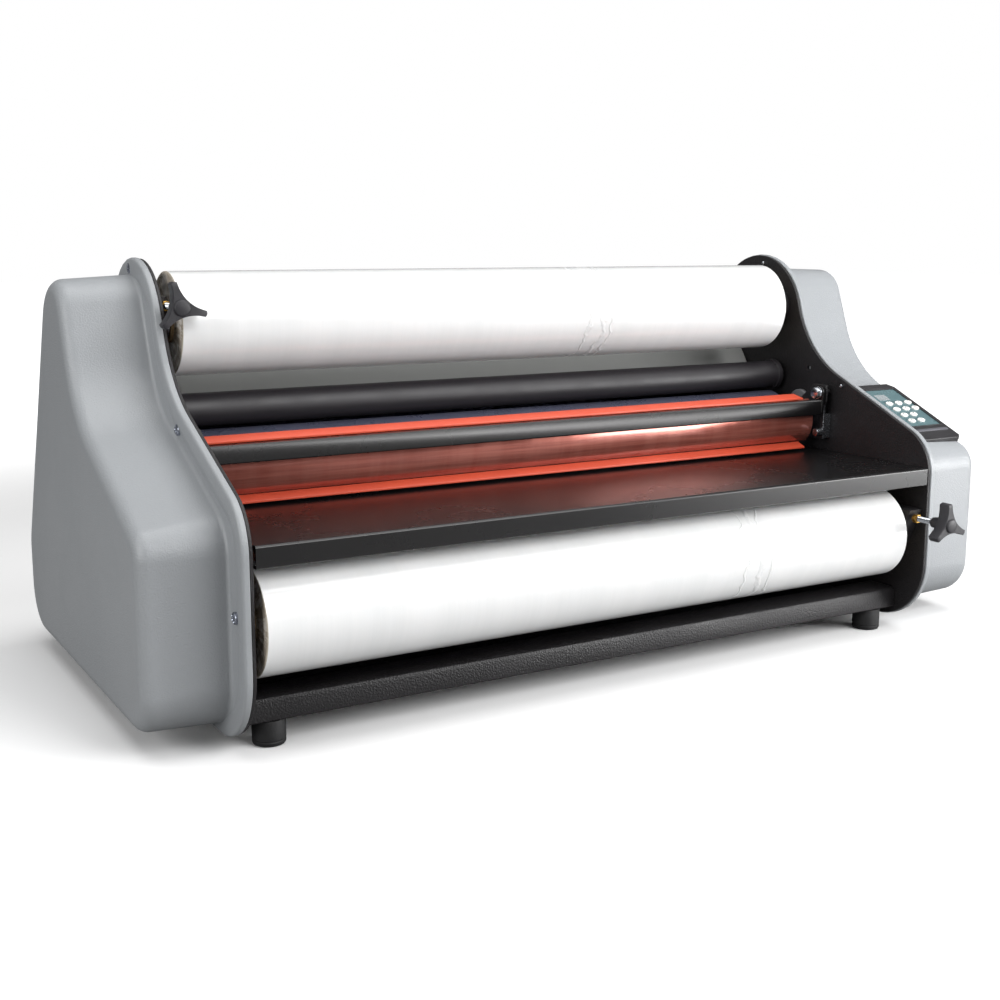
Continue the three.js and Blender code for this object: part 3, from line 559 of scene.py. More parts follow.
def roundedOutline(corners, inset=0.0, steps=14):
    # Follows a cornered (y, z) outline moved inwards, with each corner turned into an arc
    count = len(corners)
    lines = []
    for i in range(count):
        start = Vector(corners[i][:2])
        along = (Vector(corners[(i + 1) % count][:2]) - start).normalized()
        inward = Vector((along.y, -along.x))
        lines.append((start + inward * inset, along, inward))
    outline = []
    for i in range(count):
        point, along, inward = lines[i - 1]
        nextPoint, nextAlong = lines[i][:2]
        turn = along.x * nextAlong.y - along.y * nextAlong.x
        gap = nextPoint - point
        vertex = point + along * ((gap.x * nextAlong.y - gap.y * nextAlong.x) / turn)
        outward = turn < 0
        radius = corners[i][2] + (-inset if outward else inset)
        bend = math.acos(max(-1, min(1, along.dot(nextAlong))))
        start = vertex - along * radius * math.tan(bend / 2)
        centre = start + inward * (radius if outward else -radius)
        for step in range(steps + 1):
            angle = (-bend if outward else bend) * step / steps
            spoke = start - centre
            outline.append((centre.x + spoke.x * math.cos(angle) - spoke.y * math.sin(angle),
                            centre.y + spoke.x * math.sin(angle) + spoke.y * math.cos(angle)))
    return outline


def startCopiesTree(name, inputs):
    # Copies set on points, then made real and given their finish
    tree = bpy.data.node_groups.new(name, "GeometryNodeTree")
    sockets = [("Geometry", "NodeSocketGeometry"), *inputs, ("Finish", "NodeSocketMaterial")]
    for socketName, kind in sockets:
        tree.interface.new_socket(socketName, in_out="INPUT", socket_type=kind)
    tree.interface.new_socket("Geometry", in_out="OUTPUT", socket_type="NodeSocketGeometry")
    add, link = tree.nodes.new, tree.links.new
    given, made = add("NodeGroupInput"), add("NodeGroupOutput")
    place = add("GeometryNodeInstanceOnPoints")
    real = add("GeometryNodeRealizeInstances")
    paint = add("GeometryNodeSetMaterial")
    link(place.outputs["Instances"], real.inputs["Geometry"])
    link(real.outputs["Geometry"], paint.inputs["Geometry"])
    link(given.outputs["Finish"], paint.inputs["Material"])
    link(paint.outputs["Geometry"], made.inputs["Geometry"])
    return tree, given, place, add, link


def buildScatterTree():
    # Sets one copy of a head on each point, turned to the point's own direction
    tree, given, place, add, link = startCopiesTree("setFasteners", [
        ("Head", "NodeSocketObject"), ("Size", "NodeSocketFloat"), ("Twist", "NodeSocketFloat"),
        ("Seed", "NodeSocketInt")])
    head = add("GeometryNodeObjectInfo")
    direction = add("GeometryNodeInputNamedAttribute")
    direction.data_type = "FLOAT_VECTOR"
    direction.inputs["Name"].default_value = "facing"
    aim = add("FunctionNodeAlignRotationToVector")
    aim.axis = "Z"
    twist = add("FunctionNodeRandomValue")
    twist.data_type = "FLOAT"
    turnAbout = add("FunctionNodeAxisAngleToRotation")
    turnAbout.inputs["Axis"].default_value = (0, 0, 1)
    turnLocal = add("FunctionNodeRotateRotation")
    turnLocal.rotation_space = "LOCAL"
    link(given.outputs["Head"], head.inputs["Object"])
    link(direction.outputs["Attribute"], aim.inputs["Vector"])
    link(given.outputs["Twist"], twist.inputs[3])
    link(given.outputs["Seed"], twist.inputs["Seed"])
    link(twist.outputs[1], turnAbout.inputs["Angle"])
    link(aim.outputs[0], turnLocal.inputs["Rotation"])
    link(turnAbout.outputs[0], turnLocal.inputs["Rotate By"])
    link(given.outputs["Geometry"], place.inputs["Points"])
    link(head.outputs["Geometry"], place.inputs["Instance"])
    link(turnLocal.outputs[0], place.inputs["Rotation"])
    link(given.outputs["Size"], place.inputs["Scale"])
    return tree


def buildRowTree():
    # Repeats a master shape along a straight row
    tree, given, place, add, link = startCopiesTree("repeatInRow", [
        ("Count", "NodeSocketInt"), ("Step", "NodeSocketVector")])
    row = add("GeometryNodeMeshLine")
    link(given.outputs["Count"], row.inputs["Count"])
    link(given.outputs["Step"], row.inputs["Offset"])
    link(row.outputs["Mesh"], place.inputs["Points"])
    link(given.outputs["Geometry"], place.inputs["Instance"])
    return tree


scatterTree = buildScatterTree()
rowTree = buildRowTree()


def setInputs(modifier, tree, values):
    for item in tree.interface.items_tree:
        if item.item_type == "SOCKET" and item.in_out == "INPUT" and item.name in values:
            modifier[item.identifier] = values[item.name]


def runTree(name, mesh, tree, values, body, smoothAngle=35):
    piece = bpy.data.objects.new(name, mesh)
    scene.collection.objects.link(piece)
    modifier = piece.modifiers.new(tree.name, "NODES")
    modifier.node_group = tree
    setInputs(modifier, tree, values)
    bakeModifiers(piece)
    piece.data.set_sharp_from_angle(angle=math.radians(smoothAngle))
    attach(piece, body)
    return piece


def setFasteners(name, head, spots, material, body, size=1.0, twist=6.28, seed=3):
    # spots: (x, y, z) in millimetres and the direction each head looks
    mesh = bpy.data.meshes.new(name)
    mesh.from_pydata([tuple(toRow @ Vector(place)) for place, facing in spots], [], [])
    facing = mesh.attributes.new("facing", "FLOAT_VECTOR", "POINT")
    for index, (place, direction) in enumerate(spots):
        facing.data[index].vector = Vector(direction).normalized()
    values = {"Head": head, "Size": size, "Twist": twist, "Seed": seed, "Finish": material}
    return runTree(name, mesh, scatterTree, values, body)


def repeatInRow(name, shape, count, step, material, body):
    shape.transform(toRow)
    mesh = meshFrom(name, shape)
    mesh.shade_smooth()
    values = {"Count": count, "Step": tuple(value / 1000 for value in step), "Finish": material}
    return runTree(name, mesh, rowTree, values, body)


def makeHead(name, shape):
    # A fastener kept only as the master for its copies
    bmesh.ops.recalc_face_normals(shape, faces=shape.faces)
    shape.transform(Matrix.Scale(0.001, 4))
    mesh = meshFrom(name, shape)
    mesh.shade_smooth()
    return bpy.data.objects.new(name, mesh)


def panHeadShape(radius=4.1, height=2.6, segments=32):
    # Domed head with a cross recess, along +Z
    shape = bmesh.new()
    radii = [0.55, 1.1, 1.6, 2.1, 2.7, 3.3, 3.8, radius]
    centre = shape.verts.new((0, 0, height - 1.5))
    rings = []
    for r in radii:
        ring = []
        for k in range(segments):
            angle = 2 * math.pi * k / segments
            x, y = r * math.cos(angle), r * math.sin(angle)
            top = height * math.sqrt(max(0.0, 1 - (r / (radius * 1.12)) ** 2)) * 0.92 + 0.2
            inCross = r < 2.2 and min(abs(x), abs(y)) < 0.5
            ring.append(shape.verts.new((x, y, top - (1.2 - 0.2 * r if inCross else 0))))
        rings.append(ring)
    for k in range(segments):
        shape.faces.new((centre, rings[0][k], rings[0][(k + 1) % segments]))
    skirt = addRing(shape, [(x, y, -0.4) for x, y in circlePoints(radius, segments)])
    stackRings(shape, rings + [skirt])
    shape.faces.new(skirt)
    return shape


def discShape(profile, segments=32):
    # (radius, height) points turned about Z
    shape = bmesh.new()
    rings = []
    for radius, height in profile:
        around = circlePoints(radius, segments) if radius > axisReach else [(0, 0)]
        rings.append(addRing(shape, [(x, y, height) for x, y in around]))
    return skinTurning(shape, list(zip(rings, rings[1:])), segments)


panHead = makeHead("panHeadMaster", panHeadShape())
screwTip = makeHead("screwTipMaster", discShape([(0, 3.2), (1.3, 3.0), (2.0, 2.2), (2.0, -1), (0, -1)], 16))
print("fastener masters and node trees made")


panelMould = {"origin": (-81.7, 234.1), "slope": 24.15, "pocket": (396.7, 477.3, -96.3, 23.3),
              "label": (405.4, 470.6, -68.6, 10.6), "window": (429.5, 446.5, -11.5, 0.5),
              "ledge": (405.4, 470.6, -80.5, -76.5, -0.2, 1.1), "rimWidth": 1.2}
panelPlace = (Matrix.Translation((0, panelMould["origin"][0], panelMould["origin"][1]))
              @ Matrix.Rotation(math.radians(panelMould["slope"]), 4, "X"))

coverMould = {"flangeAt": 366.3, "sheet": 4.0, "wall": 3.0, "draft": 3.0, "edge": 12.0,
              "depthLeft": 74.7, "depthRight": 114.7, "arcSteps": 14, "footFillet": 3.4, "screwAt": 4.4}
flangeCorners = [(-227.5, 10, 65), (-227.5, 200.5, 48), (-36.9, 286, 115), (15.7, 523.7, 71.4), (246, 92.5, 60),
                 (246, 10, 55)]
footCorners = [(-190.8, 16, 45), (-190.8, 185.2, 36), (-15.9, 263.6, 102), (28.4, 375.5, 36), (90.3, 375.5, 53),
               (222, 111.7, 60), (222, 16, 50)]
boxCorners = [(-190, 16, 42), (-190, 182.4, 30), (-8.7, 263.6, 110), (31.2, 375.5, 35), (90.3, 375.5, 53),
              (222, 111.7, 60), (222, 16, 50)]


def coverShape(side, depth):
    # Flange with a crowned rim, a filleted foot, and a hollow box with a rounded outboard edge
    mould = coverMould
    shape = bmesh.new()

    def ring(x, corners, inset):
        outline = roundedOutline(corners, inset, mould["arcSteps"])
        return addRing(shape, [(side * (mould["flangeAt"] + x), y, z) for y, z in outline])

    rimProfile = [(0, 0.7), (0.7, 0), (4.0, 0), (5.1, 0.35), (5.9, 1.2), (6.25, 2.6), (6.3, 5), (6.25, 10),
                  (5.9, 13.5), (5.2, 16.2), (4.5, 18), (4.1, 19.6), (mould["sheet"], 21)]
    rim = [ring(x, flangeCorners, inset) for x, inset in rimProfile]
    stackRings(shape, rim)
    foot = []
    for step in range(6):
        angle = math.radians(90 * step / 5)
        foot.append(ring(mould["sheet"] + mould["footFillet"] * (1 - math.cos(angle)), footCorners,
                         -mould["footFillet"] * (1 - math.sin(angle))))
    fillBetween(shape, rim[-1], foot[0])
    straight = depth - mould["edge"]
    outer = foot + [ring(straight, boxCorners, mould["draft"])]
    for step in range(1, 9):
        angle = math.radians(90 * step / 8)
        outer.append(ring(straight + mould["edge"] * math.sin(angle), boxCorners,
                          mould["draft"] + mould["edge"] * (1 - math.cos(angle))))
    stackRings(shape, outer)
    shape.faces.new(outer[-1])
    innerEdge = mould["edge"] - mould["wall"]
    inner = [ring(0, footCorners, mould["wall"]), ring(straight, boxCorners, mould["wall"] + mould["draft"])]
    for step in range(1, 5):
        angle = math.radians(90 * step / 4)
        inner.append(ring(straight + innerEdge * math.sin(angle), boxCorners,
                          mould["wall"] + mould["draft"] + innerEdge * (1 - math.cos(angle))))
    stackRings(shape, inner)
    shape.faces.new(inner[-1])
    fillBetween(shape, rim[0], inner[0])
    bmesh.ops.recalc_face_normals(shape, faces=shape.faces)
    return shape


plateLook = {"inset": 1.0, "inner": 363.0, "outer": 366.0, "edge": 0.5, "arcSteps": 24}
screwPlaces = {
    "left": [(51, 381.5), (-75, 249), (-205, 117), (235, 60), (235, 122), (168, 250), (110, 352)],
    "right": [(34, 381.3), (-99.4, 249.8), (235, 60), (235, 122), (168, 250), (110, 352)],
}
hiddenScrews = {"left": [(-56, 268)], "right": []}   # only their tips show


def makePocketCutter():
    # The opening in the right cover's slope that the control panel sits in
    pocket = bmesh.new()
    bmesh.ops.create_cube(pocket, size=1)
    panel = panelMould["pocket"]
    pocket.transform(Matrix.Diagonal((panel[1] - panel[0], panel[3] - panel[2], 46, 1)))
    pocket.transform(Matrix.Translation(((panel[0] + panel[1]) / 2, (panel[2] + panel[3]) / 2, 7)))
    pocket.transform(toRow @ panelPlace)
    cutter = bpy.data.objects.new("panelPocket", meshFrom("panelPocket", pocket))
    scene.collection.objects.link(cutter)
    return cutter


for sideName, side in (("left", -1), ("right", 1)):
    depth = coverMould["depthLeft"] if side < 0 else coverMould["depthRight"]
    pocketCutter = makePocketCutter() if side > 0 else None
    makePiece(f"side_cover_{sideName}_moulding", coverShape(side, depth), "frame", [finish["coverGrey"]],
              slotOf[f"side_cover_{sideName}"], (f"side_cover_{sideName}",), 40, True, pocketCutter)
    if pocketCutter:
        bpy.data.objects.remove(pocketCutter)
    outside = side * (coverMould["flangeAt"] + coverMould["screwAt"])
    shown = [((outside, y, z), (side, 0, 0)) for y, z in screwPlaces[sideName]]
    setFasteners(f"cover_screws_{sideName}", panHead, shown, finish["zincDark"], "frame",
                 size=1.22, seed=5 + side)
    tips = [((side * plateLook["inner"], y, z), (-side, 0, 0))
            for y, z in screwPlaces[sideName] + hiddenScrews[sideName]]
    setFasteners(f"cover_screw_tips_{sideName}", screwTip, tips, finish["zincBright"], "frame", twist=0.0)
print("side covers made")


# Holes are (y, z, radius)
bearingHoles = [(-5, 147.2, 10.4), (-5, 207.5, 10.4), (125.3, 147.1, 10.4), (125.3, 207.6, 10.4), (5, 255, 8),
                (-35.5, 224.7, 16.5)]
plateHoles = {"left": bearingHoles, "right": bearingHoles + [(60.15, 147.2, 6.3), (-46.7, 265.9, 2.6)]}


def plateShape(side, holes):
    shape = bmesh.new()
    outline = roundedOutline(flangeCorners, plateLook["inset"], plateLook["arcSteps"])
    eased = roundedOutline(flangeCorners, plateLook["inset"] + plateLook["edge"], plateLook["arcSteps"])
    levels = [(plateLook["inner"], eased), (plateLook["inner"] + plateLook["edge"], outline),
              (plateLook["outer"] - plateLook["edge"], outline), (plateLook["outer"], eased)]
    rings = [addRing(shape, [(side * x, y, z) for y, z in points]) for x, points in levels]
    stackRings(shape, rings)
    loops = [rings[0]], [rings[-1]]
    for y, z, radius in holes:
        circle = circlePoints(radius, 48)
        pair = [addRing(shape, [(side * x, y + a, z + b) for a, b in circle])
                for x in (plateLook["inner"], plateLook["outer"])]
        bridgeRings(shape, *pair)
        for group, ring in zip(loops, pair):
            group.append(ring)
    for group in loops:
        fillBetween(shape, *group)
    bmesh.ops.recalc_face_normals(shape, faces=shape.faces)
    return shape


for sideName, side in (("left", -1), ("right", 1)):
    makePiece(f"side_plate_{sideName}_sheet", plateShape(side, plateHoles[sideName]), "frame",
              [finish["powderBlack"]], slotOf[f"side_plate_{sideName}"], (f"side_plate_{sideName}",), 30)
reworkNode("heater_lead_bush", finish["bushGrey"], 1.2, 3, 60)
reworkNode("front_rail", finish["powderBlack"], 0.4)
reworkNode("base_pan", finish["powderBlack"], 0.4)

footProfile = [(0, 0), (9.5, 0), (10, 0.5), (10.6, 0.5), (11, 0), (12.2, 0), (13.3, 0.5), (13.9, 1.7), (14, 3.4),
               (13.6, 4.0), (13.6, 4.6), (14, 5.2), (14, 20.8), (13.6, 21.6), (12.8, 21.9), (0, 21.9)]
for corner in ("front_left", "front_right", "rear_left", "rear_right"):
    low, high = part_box(f"rubber_foot_{corner}")
    middle = fromRow @ ((low + high) / 2)
    foot = discShape([(radius, height) for radius, height in footProfile], 48)
    foot.transform(Matrix.Translation((middle.x, middle.y, 0)))
    makePiece(f"foot_{corner}", foot, "frame", [finish["footRubber"]], "rubber", (f"rubber_foot_{corner}",), 32)
print("plates, base and feet made")


filmWind = {"upper": {"y": 8, "z": 333, "left": -352, "crease": 0.062},
            "lower": {"y": -187, "z": 108.7, "left": -355.5, "crease": 0.118}}
filmMould = {"length": 685.0, "radius": 46.5, "core": 16.5, "segments": 128}


def filmRollShape(roll):
    # Side wall with eased edges, and ends with the slight dish and steps of a wound roll
    left, right = roll["left"], roll["left"] + filmMould["length"]
    outer, inner = filmMould["radius"], filmMould["core"] + 0.3
    steps = [(46.1, 0.05), (44.8, 0.0), (42.5, 0.25), (41.9, 0.55), (37.5, 0.5), (33.2, 0.75), (32.8, 1.0),
             (27, 0.9), (22.4, 1.1), (22.1, 1.35), (inner, 1.3)]
    profile, paint = [], []
    for radius, sink in reversed(steps):
        profile.append((left + sink, radius))
        paint.append(1)
    profile += [(left + 0.35, outer), (left + 60, outer), (right - 60, outer), (right - 0.35, outer)]
    paint += [0, 0, 0, 1]
    for radius, sink in steps:
        profile.append((right - sink, radius))
        paint.append(1)
    return turned(profile, roll["y"], roll["z"], filmMould["segments"], closed=True, paint=paint)


def coreShape(roll):
    left, right = roll["left"] - 1.5, roll["left"] + filmMould["length"] + 3
    profile = [(left, 13.2), (left, 16.2), (left + 0.3, 16.5), (right - 0.3, 16.5), (right, 16.2), (right, 13.2),
               (right - 0.3, 12.9), (left + 0.3, 12.9)]
    return turned(profile, roll["y"], roll["z"], 64, closed=True)


for level, roll in filmWind.items():
    axisPoint = toRow @ Vector((0, roll["y"], roll["z"]))
    windFinish = [makeFilmSide(f"{level}FilmSide", roll), makeFilmEnd(f"{level}FilmEnd", axisPoint)]
    makePiece(f"{level}_film_winding", filmRollShape(roll), f"{level}_supply", windFinish, "film",
              (f"{level}_film_roll",), 50)
    makePiece(f"{level}_card_core", coreShape(roll), f"{level}_supply", [finish["cardCore"]], "cardboard",
              (f"{level}_film_core",), 40)
    reworkNode(f"{level}_mandrel", finish["mandrelSteel"], 0.6, 2, 30)
for bracket in ("upper_mandrel_bracket_left", "upper_mandrel_bracket_right", "lower_mandrel_bracket_left",
                "lower_mandrel_bracket_right"):
    reworkNode(bracket, finish["powderBlack"], 0.5)
print("film rolls made")


knobMould = {"tip": 23.0, "tipHalf": 0.12, "tipDrop": 0.8, "hollow": 3.2}
studMould = {"root": 2.55, "crest": 3.0, "pitch": 1.0}


def knobOutline():
    # Three arms with blunt round tips and hollow flanks
    points = []
    for arm in range(3):
        angle = arm * 2 * math.pi / 3
        nextAngle = angle + 2 * math.pi / 3
        middle = (angle + nextAngle) / 2
        tipHalf = knobMould["tipHalf"]
        for step in range(5):
            a = angle - tipHalf + 2 * tipHalf * step / 4
            r = knobMould["tip"] - knobMould["tipDrop"] * abs(step - 2) / 2
            points.append((r * math.cos(a), r * math.sin(a)))
        shoulder = knobMould["tip"] - knobMould["tipDrop"]
        start = shoulder * Vector((math.cos(angle + tipHalf), math.sin(angle + tipHalf)))
        end = shoulder * Vector((math.cos(nextAngle - tipHalf), math.sin(nextAngle - tipHalf)))
        pull = knobMould["hollow"] * Vector((math.cos(middle), math.sin(middle)))
        for step in range(1, 14):
            t = step / 14
            p = start * (1 - t) ** 2 + pull * 2 * t * (1 - t) + end * t ** 2
            points.append((p.x, p.y))
    return points


def knobShape(x, back, z, turn):
    # Arms, a round cap and a tapered collar, built along the stud and turned to face the operator
    shape = bmesh.new()
    outline = knobOutline()
    levels = [(11.0, 0.93), (11.6, 0.975), (12.6, 1.0), (21.6, 1.0), (22.7, 0.975), (23.2, 0.93)]
    rings = [addRing(shape, [(px * scale, py * scale, height) for px, py in outline]) for height, scale in levels]
    stackRings(shape, rings, True)
    for profile in ([(0, 0.05), (5.0, 0.05), (5.2, 0.3), (6.6, 8.0), (7.5, 11.4), (7.5, 14), (0, 14)],
                    [(0, 22.8), (7.2, 22.8), (7.2, 23.9), (6.6, 24.7), (5.6, 25.1), (0, 25.2)]):
        mesh = meshFrom("part", discShape(profile, 40))
        shape.from_mesh(mesh)
        bpy.data.meshes.remove(mesh)
    bmesh.ops.recalc_face_normals(shape, faces=shape.faces)
    spin = Matrix.Rotation(turn, 4, "Z")
    shape.transform(Matrix.Translation((x, back, z)) @ Matrix.Rotation(math.pi / 2, 4, "X") @ spin)
    return shape


def studShape(x, start, end, z):
    # A stud along Y with rolled thread rings
    profile = [(0, 0)]
    length = abs(end - start)
    height = 0.0
    while height < length - 0.6:
        profile += [(studMould["root"], height), (studMould["crest"], height + studMould["pitch"] * 0.45)]
        height += studMould["pitch"] * 0.9
    profile += [(2.4, length), (0, length)]
    shape = discShape(profile, 20)
    shape.transform(Matrix.Translation((x, start, z)) @ Matrix.Rotation(math.pi / 2, 4, "X"))
    return shape


def nutShape(x, back, z, thickness=5.6, radius=5.0):
    shape = bmesh.new()
    levels = [(0, 0.9), (0.5, 1.0), (thickness - 0.5, 1.0), (thickness, 0.9)]
    stackRings(shape, [addRing(shape, [(a, b, height) for a, b in circlePoints(radius * scale, 6)])
                       for height, scale in levels], True)
    shape.transform(Matrix.Translation((x, back, z)) @ Matrix.Rotation(math.pi / 2, 4, "X"))
    return shape


for level, turn in (("upper", -14), ("lower", -24)):
    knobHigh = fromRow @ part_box(f"{level}_tension_knob")[1]
    studLow, studHigh = (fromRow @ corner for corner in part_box(f"{level}_tension_stud"))
    x, z = (studLow.x + studHigh.x) / 2, (studLow.z + studHigh.z) / 2
    makePiece(f"{level}_knob_moulding", knobShape(x, knobHigh.y, z, math.radians(turn)), f"{level}_knob",
              [finish["knobBlack"]], "knobPlastic", (f"{level}_tension_knob",), 40)
    makePiece(f"{level}_stud_thread", studShape(x, studHigh.y - 2, studLow.y, z), "frame", [finish["zincBright"]],
              "steel", (f"{level}_tension_stud",), 25)
    makePiece(f"{level}_stud_nut", nutShape(x, studHigh.y, z), "frame", [finish["brassNut"]], "steel", (), 25)
print("tension knobs made")


idlerProfile = [(-365, 0), (-365, 7.2), (-364.6, 7.6), (-359, 7.6), (-359, 14.8), (-358.4, 15.4), (350.4, 15.4),
                (351, 15.8), (351, 16.6), (351.6, 17.2), (356.4, 17.2), (357, 16.6), (357, 12), (359, 12), (359, 7.6),
                (364.6, 7.6), (365, 7.2), (365, 0)]
makePiece("idler_tube", turned(idlerProfile, 5, 255, 96), "idler", [finish["idlerBlack"]],
          slotOf["idler_roller"], ("idler_roller",), 30)
rollerSetup = {"upper_nip": (-5, 207.5, 30, 386), "lower_nip": (-5, 147.2, 30, 386),
               "upper_pull": (125.3, 207.6, 30.1, 371), "lower_pull": (125.3, 147.1, 30.1, 386)}
for name, (y, z, radius, end) in rollerSetup.items():
    sleeve = [(-345, 12.5), (-345, radius - 1.4), (-344.5, radius - 0.5), (-343.4, radius), (343.4, radius),
              (344.5, radius - 0.5), (345, radius - 1.4), (345, 12.5)]
    shaft = [(-371, 0), (-371, 9.3), (-370.3, 10), (-345.2, 10), (-345.2, 14), (-343, 14), (343, 14), (345.2, 14),
             (345.2, 10), (end - 0.7, 10), (end, 9.3), (end, 0)]
    makePiece(f"{name}_sleeve", turned(sleeve, y, z, 96), name, [finish["siliconeRoller"]], "rubber",
              (f"{name}_roller",), 32)
    makePiece(f"{name}_shaft", turned(shaft, y, z, 48), name, [finish["mandrelSteel"]], "steel", (), 30)
for gear in ("lower_nip_gear", "upper_nip_gear", "lower_pull_gear", "transfer_gear"):
    reworkNode(gear, finish["gearNylon"], 0.25, 1)
reworkNode("motor_pinion", finish["mandrelSteel"], 0.2, 1)
reworkNode("gear_motor", finish["motorGrey"], 1.0, 3)
reworkNode("control_board", finish["boardGreen"], 0.2, 1)
print("rollers and drive made")


shoeMould = {"y": -42.0, "z": 212.5, "radius": 36.0, "sheet": 3.0, "left": -348.0, "right": 342.5, "mirrorZ": 177.35}


def shoeShape(z, fromDegrees, toDegrees, steps=40):
    # A curved plate: the outer arc one way and the inner arc back
    angles = [math.radians(fromDegrees + (toDegrees - fromDegrees) * k / steps) for k in range(steps + 1)]
    outer, inner = shoeMould["radius"], shoeMould["radius"] - shoeMould["sheet"]
    outline = [(shoeMould["y"] + radius * math.cos(a), z + radius * math.sin(a))
               for radius, way in ((outer, angles), (inner, angles[::-1])) for a in way]
    shape = prismX(outline, shoeMould["left"], shoeMould["right"])
    bevelSharp(shape, 0.5, 2, 40)
    return shape


makePiece("upper_shoe_plate", shoeShape(shoeMould["z"], 142, 226), "frame", [finish["shoeCoating"]], "copper",
          ("upper_heat_shoe",), 30)
makePiece("lower_shoe_plate", shoeShape(2 * shoeMould["mirrorZ"] - shoeMould["z"], 134, 218), "frame",
          [finish["shoeCoating"]], "copper", ("lower_heat_shoe",), 30)


def stripShape(left, right, backY, backZ, frontY, frontZ, thickness, slant):
    # A flat strip with a slanted right end and softened edges
    shape = bmesh.new()
    section = [(backY, backZ), (frontY, frontZ), (frontY, frontZ - thickness), (backY, backZ - thickness)]
    ends = []
    for x, lean in ((left, 0), (right, slant)):
        ends.append(addRing(shape, [(x - (abs(lean) if (index in (1, 2)) == (lean > 0) and lean else 0), y, z)
                                    for index, (y, z) in enumerate(section)]))
    stackRings(shape, ends, True)
    bevelSharp(shape, 0.4, 2)
    return shape


stripSetup = {"top": (-353.5, 330, -63, 240, -74.5, 236, 2, -4), "bottom": (-345, 334, -68, 187, -75.5, 182, 2, -3)}
for edge, sizes in stripSetup.items():
    makePiece(f"upper_shoe_{edge}_silicone", stripShape(*sizes), "frame", [finish["stripOrange"]], "orange",
              (f"upper_shoe_{edge}_strip",), 30)
bracketLook = {"paintedAbove": 221.0, "boltEndsAt": 347.0}


def makeShoeBracket(sideName):
    # Plated below; the upper web is painted, and the bolt and pin stay bright
    piece = reworkNode(f"shoe_bracket_{sideName}", finish["zincBright"], 0.25)
    piece.data.materials.append(finish["powderBlack"])
    for face in piece.data.polygons:
        place = fromRow @ face.center
        if place.z > bracketLook["paintedAbove"] and abs(place.x) > bracketLook["boltEndsAt"]:
            face.material_index = 1


makeShoeBracket("left")
makeShoeBracket("right")
reworkNode("guard_bar", finish["enamelBlack"], 0.5, 2)
print("heat shoes and guard made")


tableMould = {"half": 361.0, "top": 177.1, "front": -227.2, "back": -42.0, "lip": 18.2, "sheet": 1.5, "fold": 2.2}


def tableShape():
    # A folded sheet seen from its side: flat top, rounded fold, front lip and a turned-back foot
    t = tableMould
    front, back, top, sheet, fold = t["front"], t["back"], t["top"], t["sheet"], t["fold"]
    low = top - t["lip"]
    outline = [(back, top - 3), (back, top - 0.8), (back - 0.8, top)]
    for k in range(7):
        a = math.radians(90 + 90 * k / 6)
        outline.append((front + fold + fold * math.cos(a), top - fold + fold * math.sin(a)))
    outline += [(front, low + 0.7), (front + 0.7, low), (front + 7, low), (front + 7, low + sheet),
                (front + sheet, low + sheet), (front + sheet, top - sheet - 0.6),
                (front + sheet + 0.6, top - sheet), (back - 4, top - sheet), (back - 1, top - 3)]
    return prismX(outline, -t["half"], t["half"])


makePiece("feed_table_sheet", tableShape(), "table", [finish["enamelBlack"]], slotOf["feed_table"], ("feed_table",),
          28, weighted=True)
reworkNode("rear_hood", finish["hoodGrey"], 0.4)
reworkNode("rear_panel", finish["hoodGrey"], 0.4)

hoodMould = {"screwSpots": (-345, -115, 115, 345), "screwSize": 0.85, "topEdge": (120.2, 312.8),
             "lowEdge": (176.2, 203.6), "panelFace": 233.0, "panelRows": (30, 84)}
louvre = {"spots": (-230, 0, 230), "top": (130, 289.9), "rows": 7, "pitch": 8.8, "length": 62.0, "width": 4.0,
          "lift": 2.0}


def louvreShape(x, y, z, tiltDegrees):
    # One pressed louvre: a half-round rib with closed ends, lying along X on the leaning panel
    shape = bmesh.new()
    rings = []
    for k in range(13):
        u = -1 + 2 * k / 12
        swell = math.sqrt(max(0.0, 1 - abs(u) ** 6))
        ring = []
        for j in range(7):
            a = math.pi * j / 6
            across = louvre["width"] / 2 * math.cos(a) * (0.4 + 0.6 * swell)
            ring.append(shape.verts.new((u * louvre["length"] / 2, across,
                                         louvre["lift"] * math.sin(a) * swell - 0.3)))
        rings.append(ring)
    for first, second in zip(rings, rings[1:]):
        for j in range(6):
            shape.faces.new((first[j], first[j + 1], second[j + 1], second[j]))
        shape.faces.new((first[6], first[0], second[0], second[6]))
    shape.faces.new(rings[0])
    shape.faces.new(rings[-1])
    bmesh.ops.recalc_face_normals(shape, faces=shape.faces)
    shape.transform(Matrix.Translation((x, y, z)) @ Matrix.Rotation(math.radians(tiltDegrees), 4, "X"))
    return shape


hoodSlope = math.degrees(math.atan2(320 - 196, 180 - 114))
slopeAngle = math.radians(hoodSlope)
for index, x in enumerate(louvre["spots"]):
    shape = louvreShape(x, *louvre["top"], -hoodSlope)
    step = (0, louvre["pitch"] * math.cos(slopeAngle), -louvre["pitch"] * math.sin(slopeAngle))
    repeatInRow(f"hood_louvres_{index + 1}", shape, louvre["rows"], step, finish["hoodGrey"], "frame")
hoodNormal = Vector((0, math.sin(slopeAngle), math.cos(slopeAngle)))
hoodScrews = [((x, *edge), hoodNormal) for edge in (hoodMould["topEdge"], hoodMould["lowEdge"])
              for x in hoodMould["screwSpots"]]
setFasteners("hood_screws", panHead, hoodScrews, finish["zincBright"], "frame",
             size=hoodMould["screwSize"], seed=9)
panelScrews = [((x, hoodMould["panelFace"], z), (0, 1, 0)) for x in hoodMould["screwSpots"]
               for z in hoodMould["panelRows"]]
setFasteners("rear_panel_screws", panHead, panelScrews, finish["zincBright"], "frame",
             size=hoodMould["screwSize"], seed=12)
reworkNode("power_inlet", finish["housingBlack"], 0.5)
reworkNode("power_switch", finish["symbolInk"], 0.3)
print("sheet metal made")


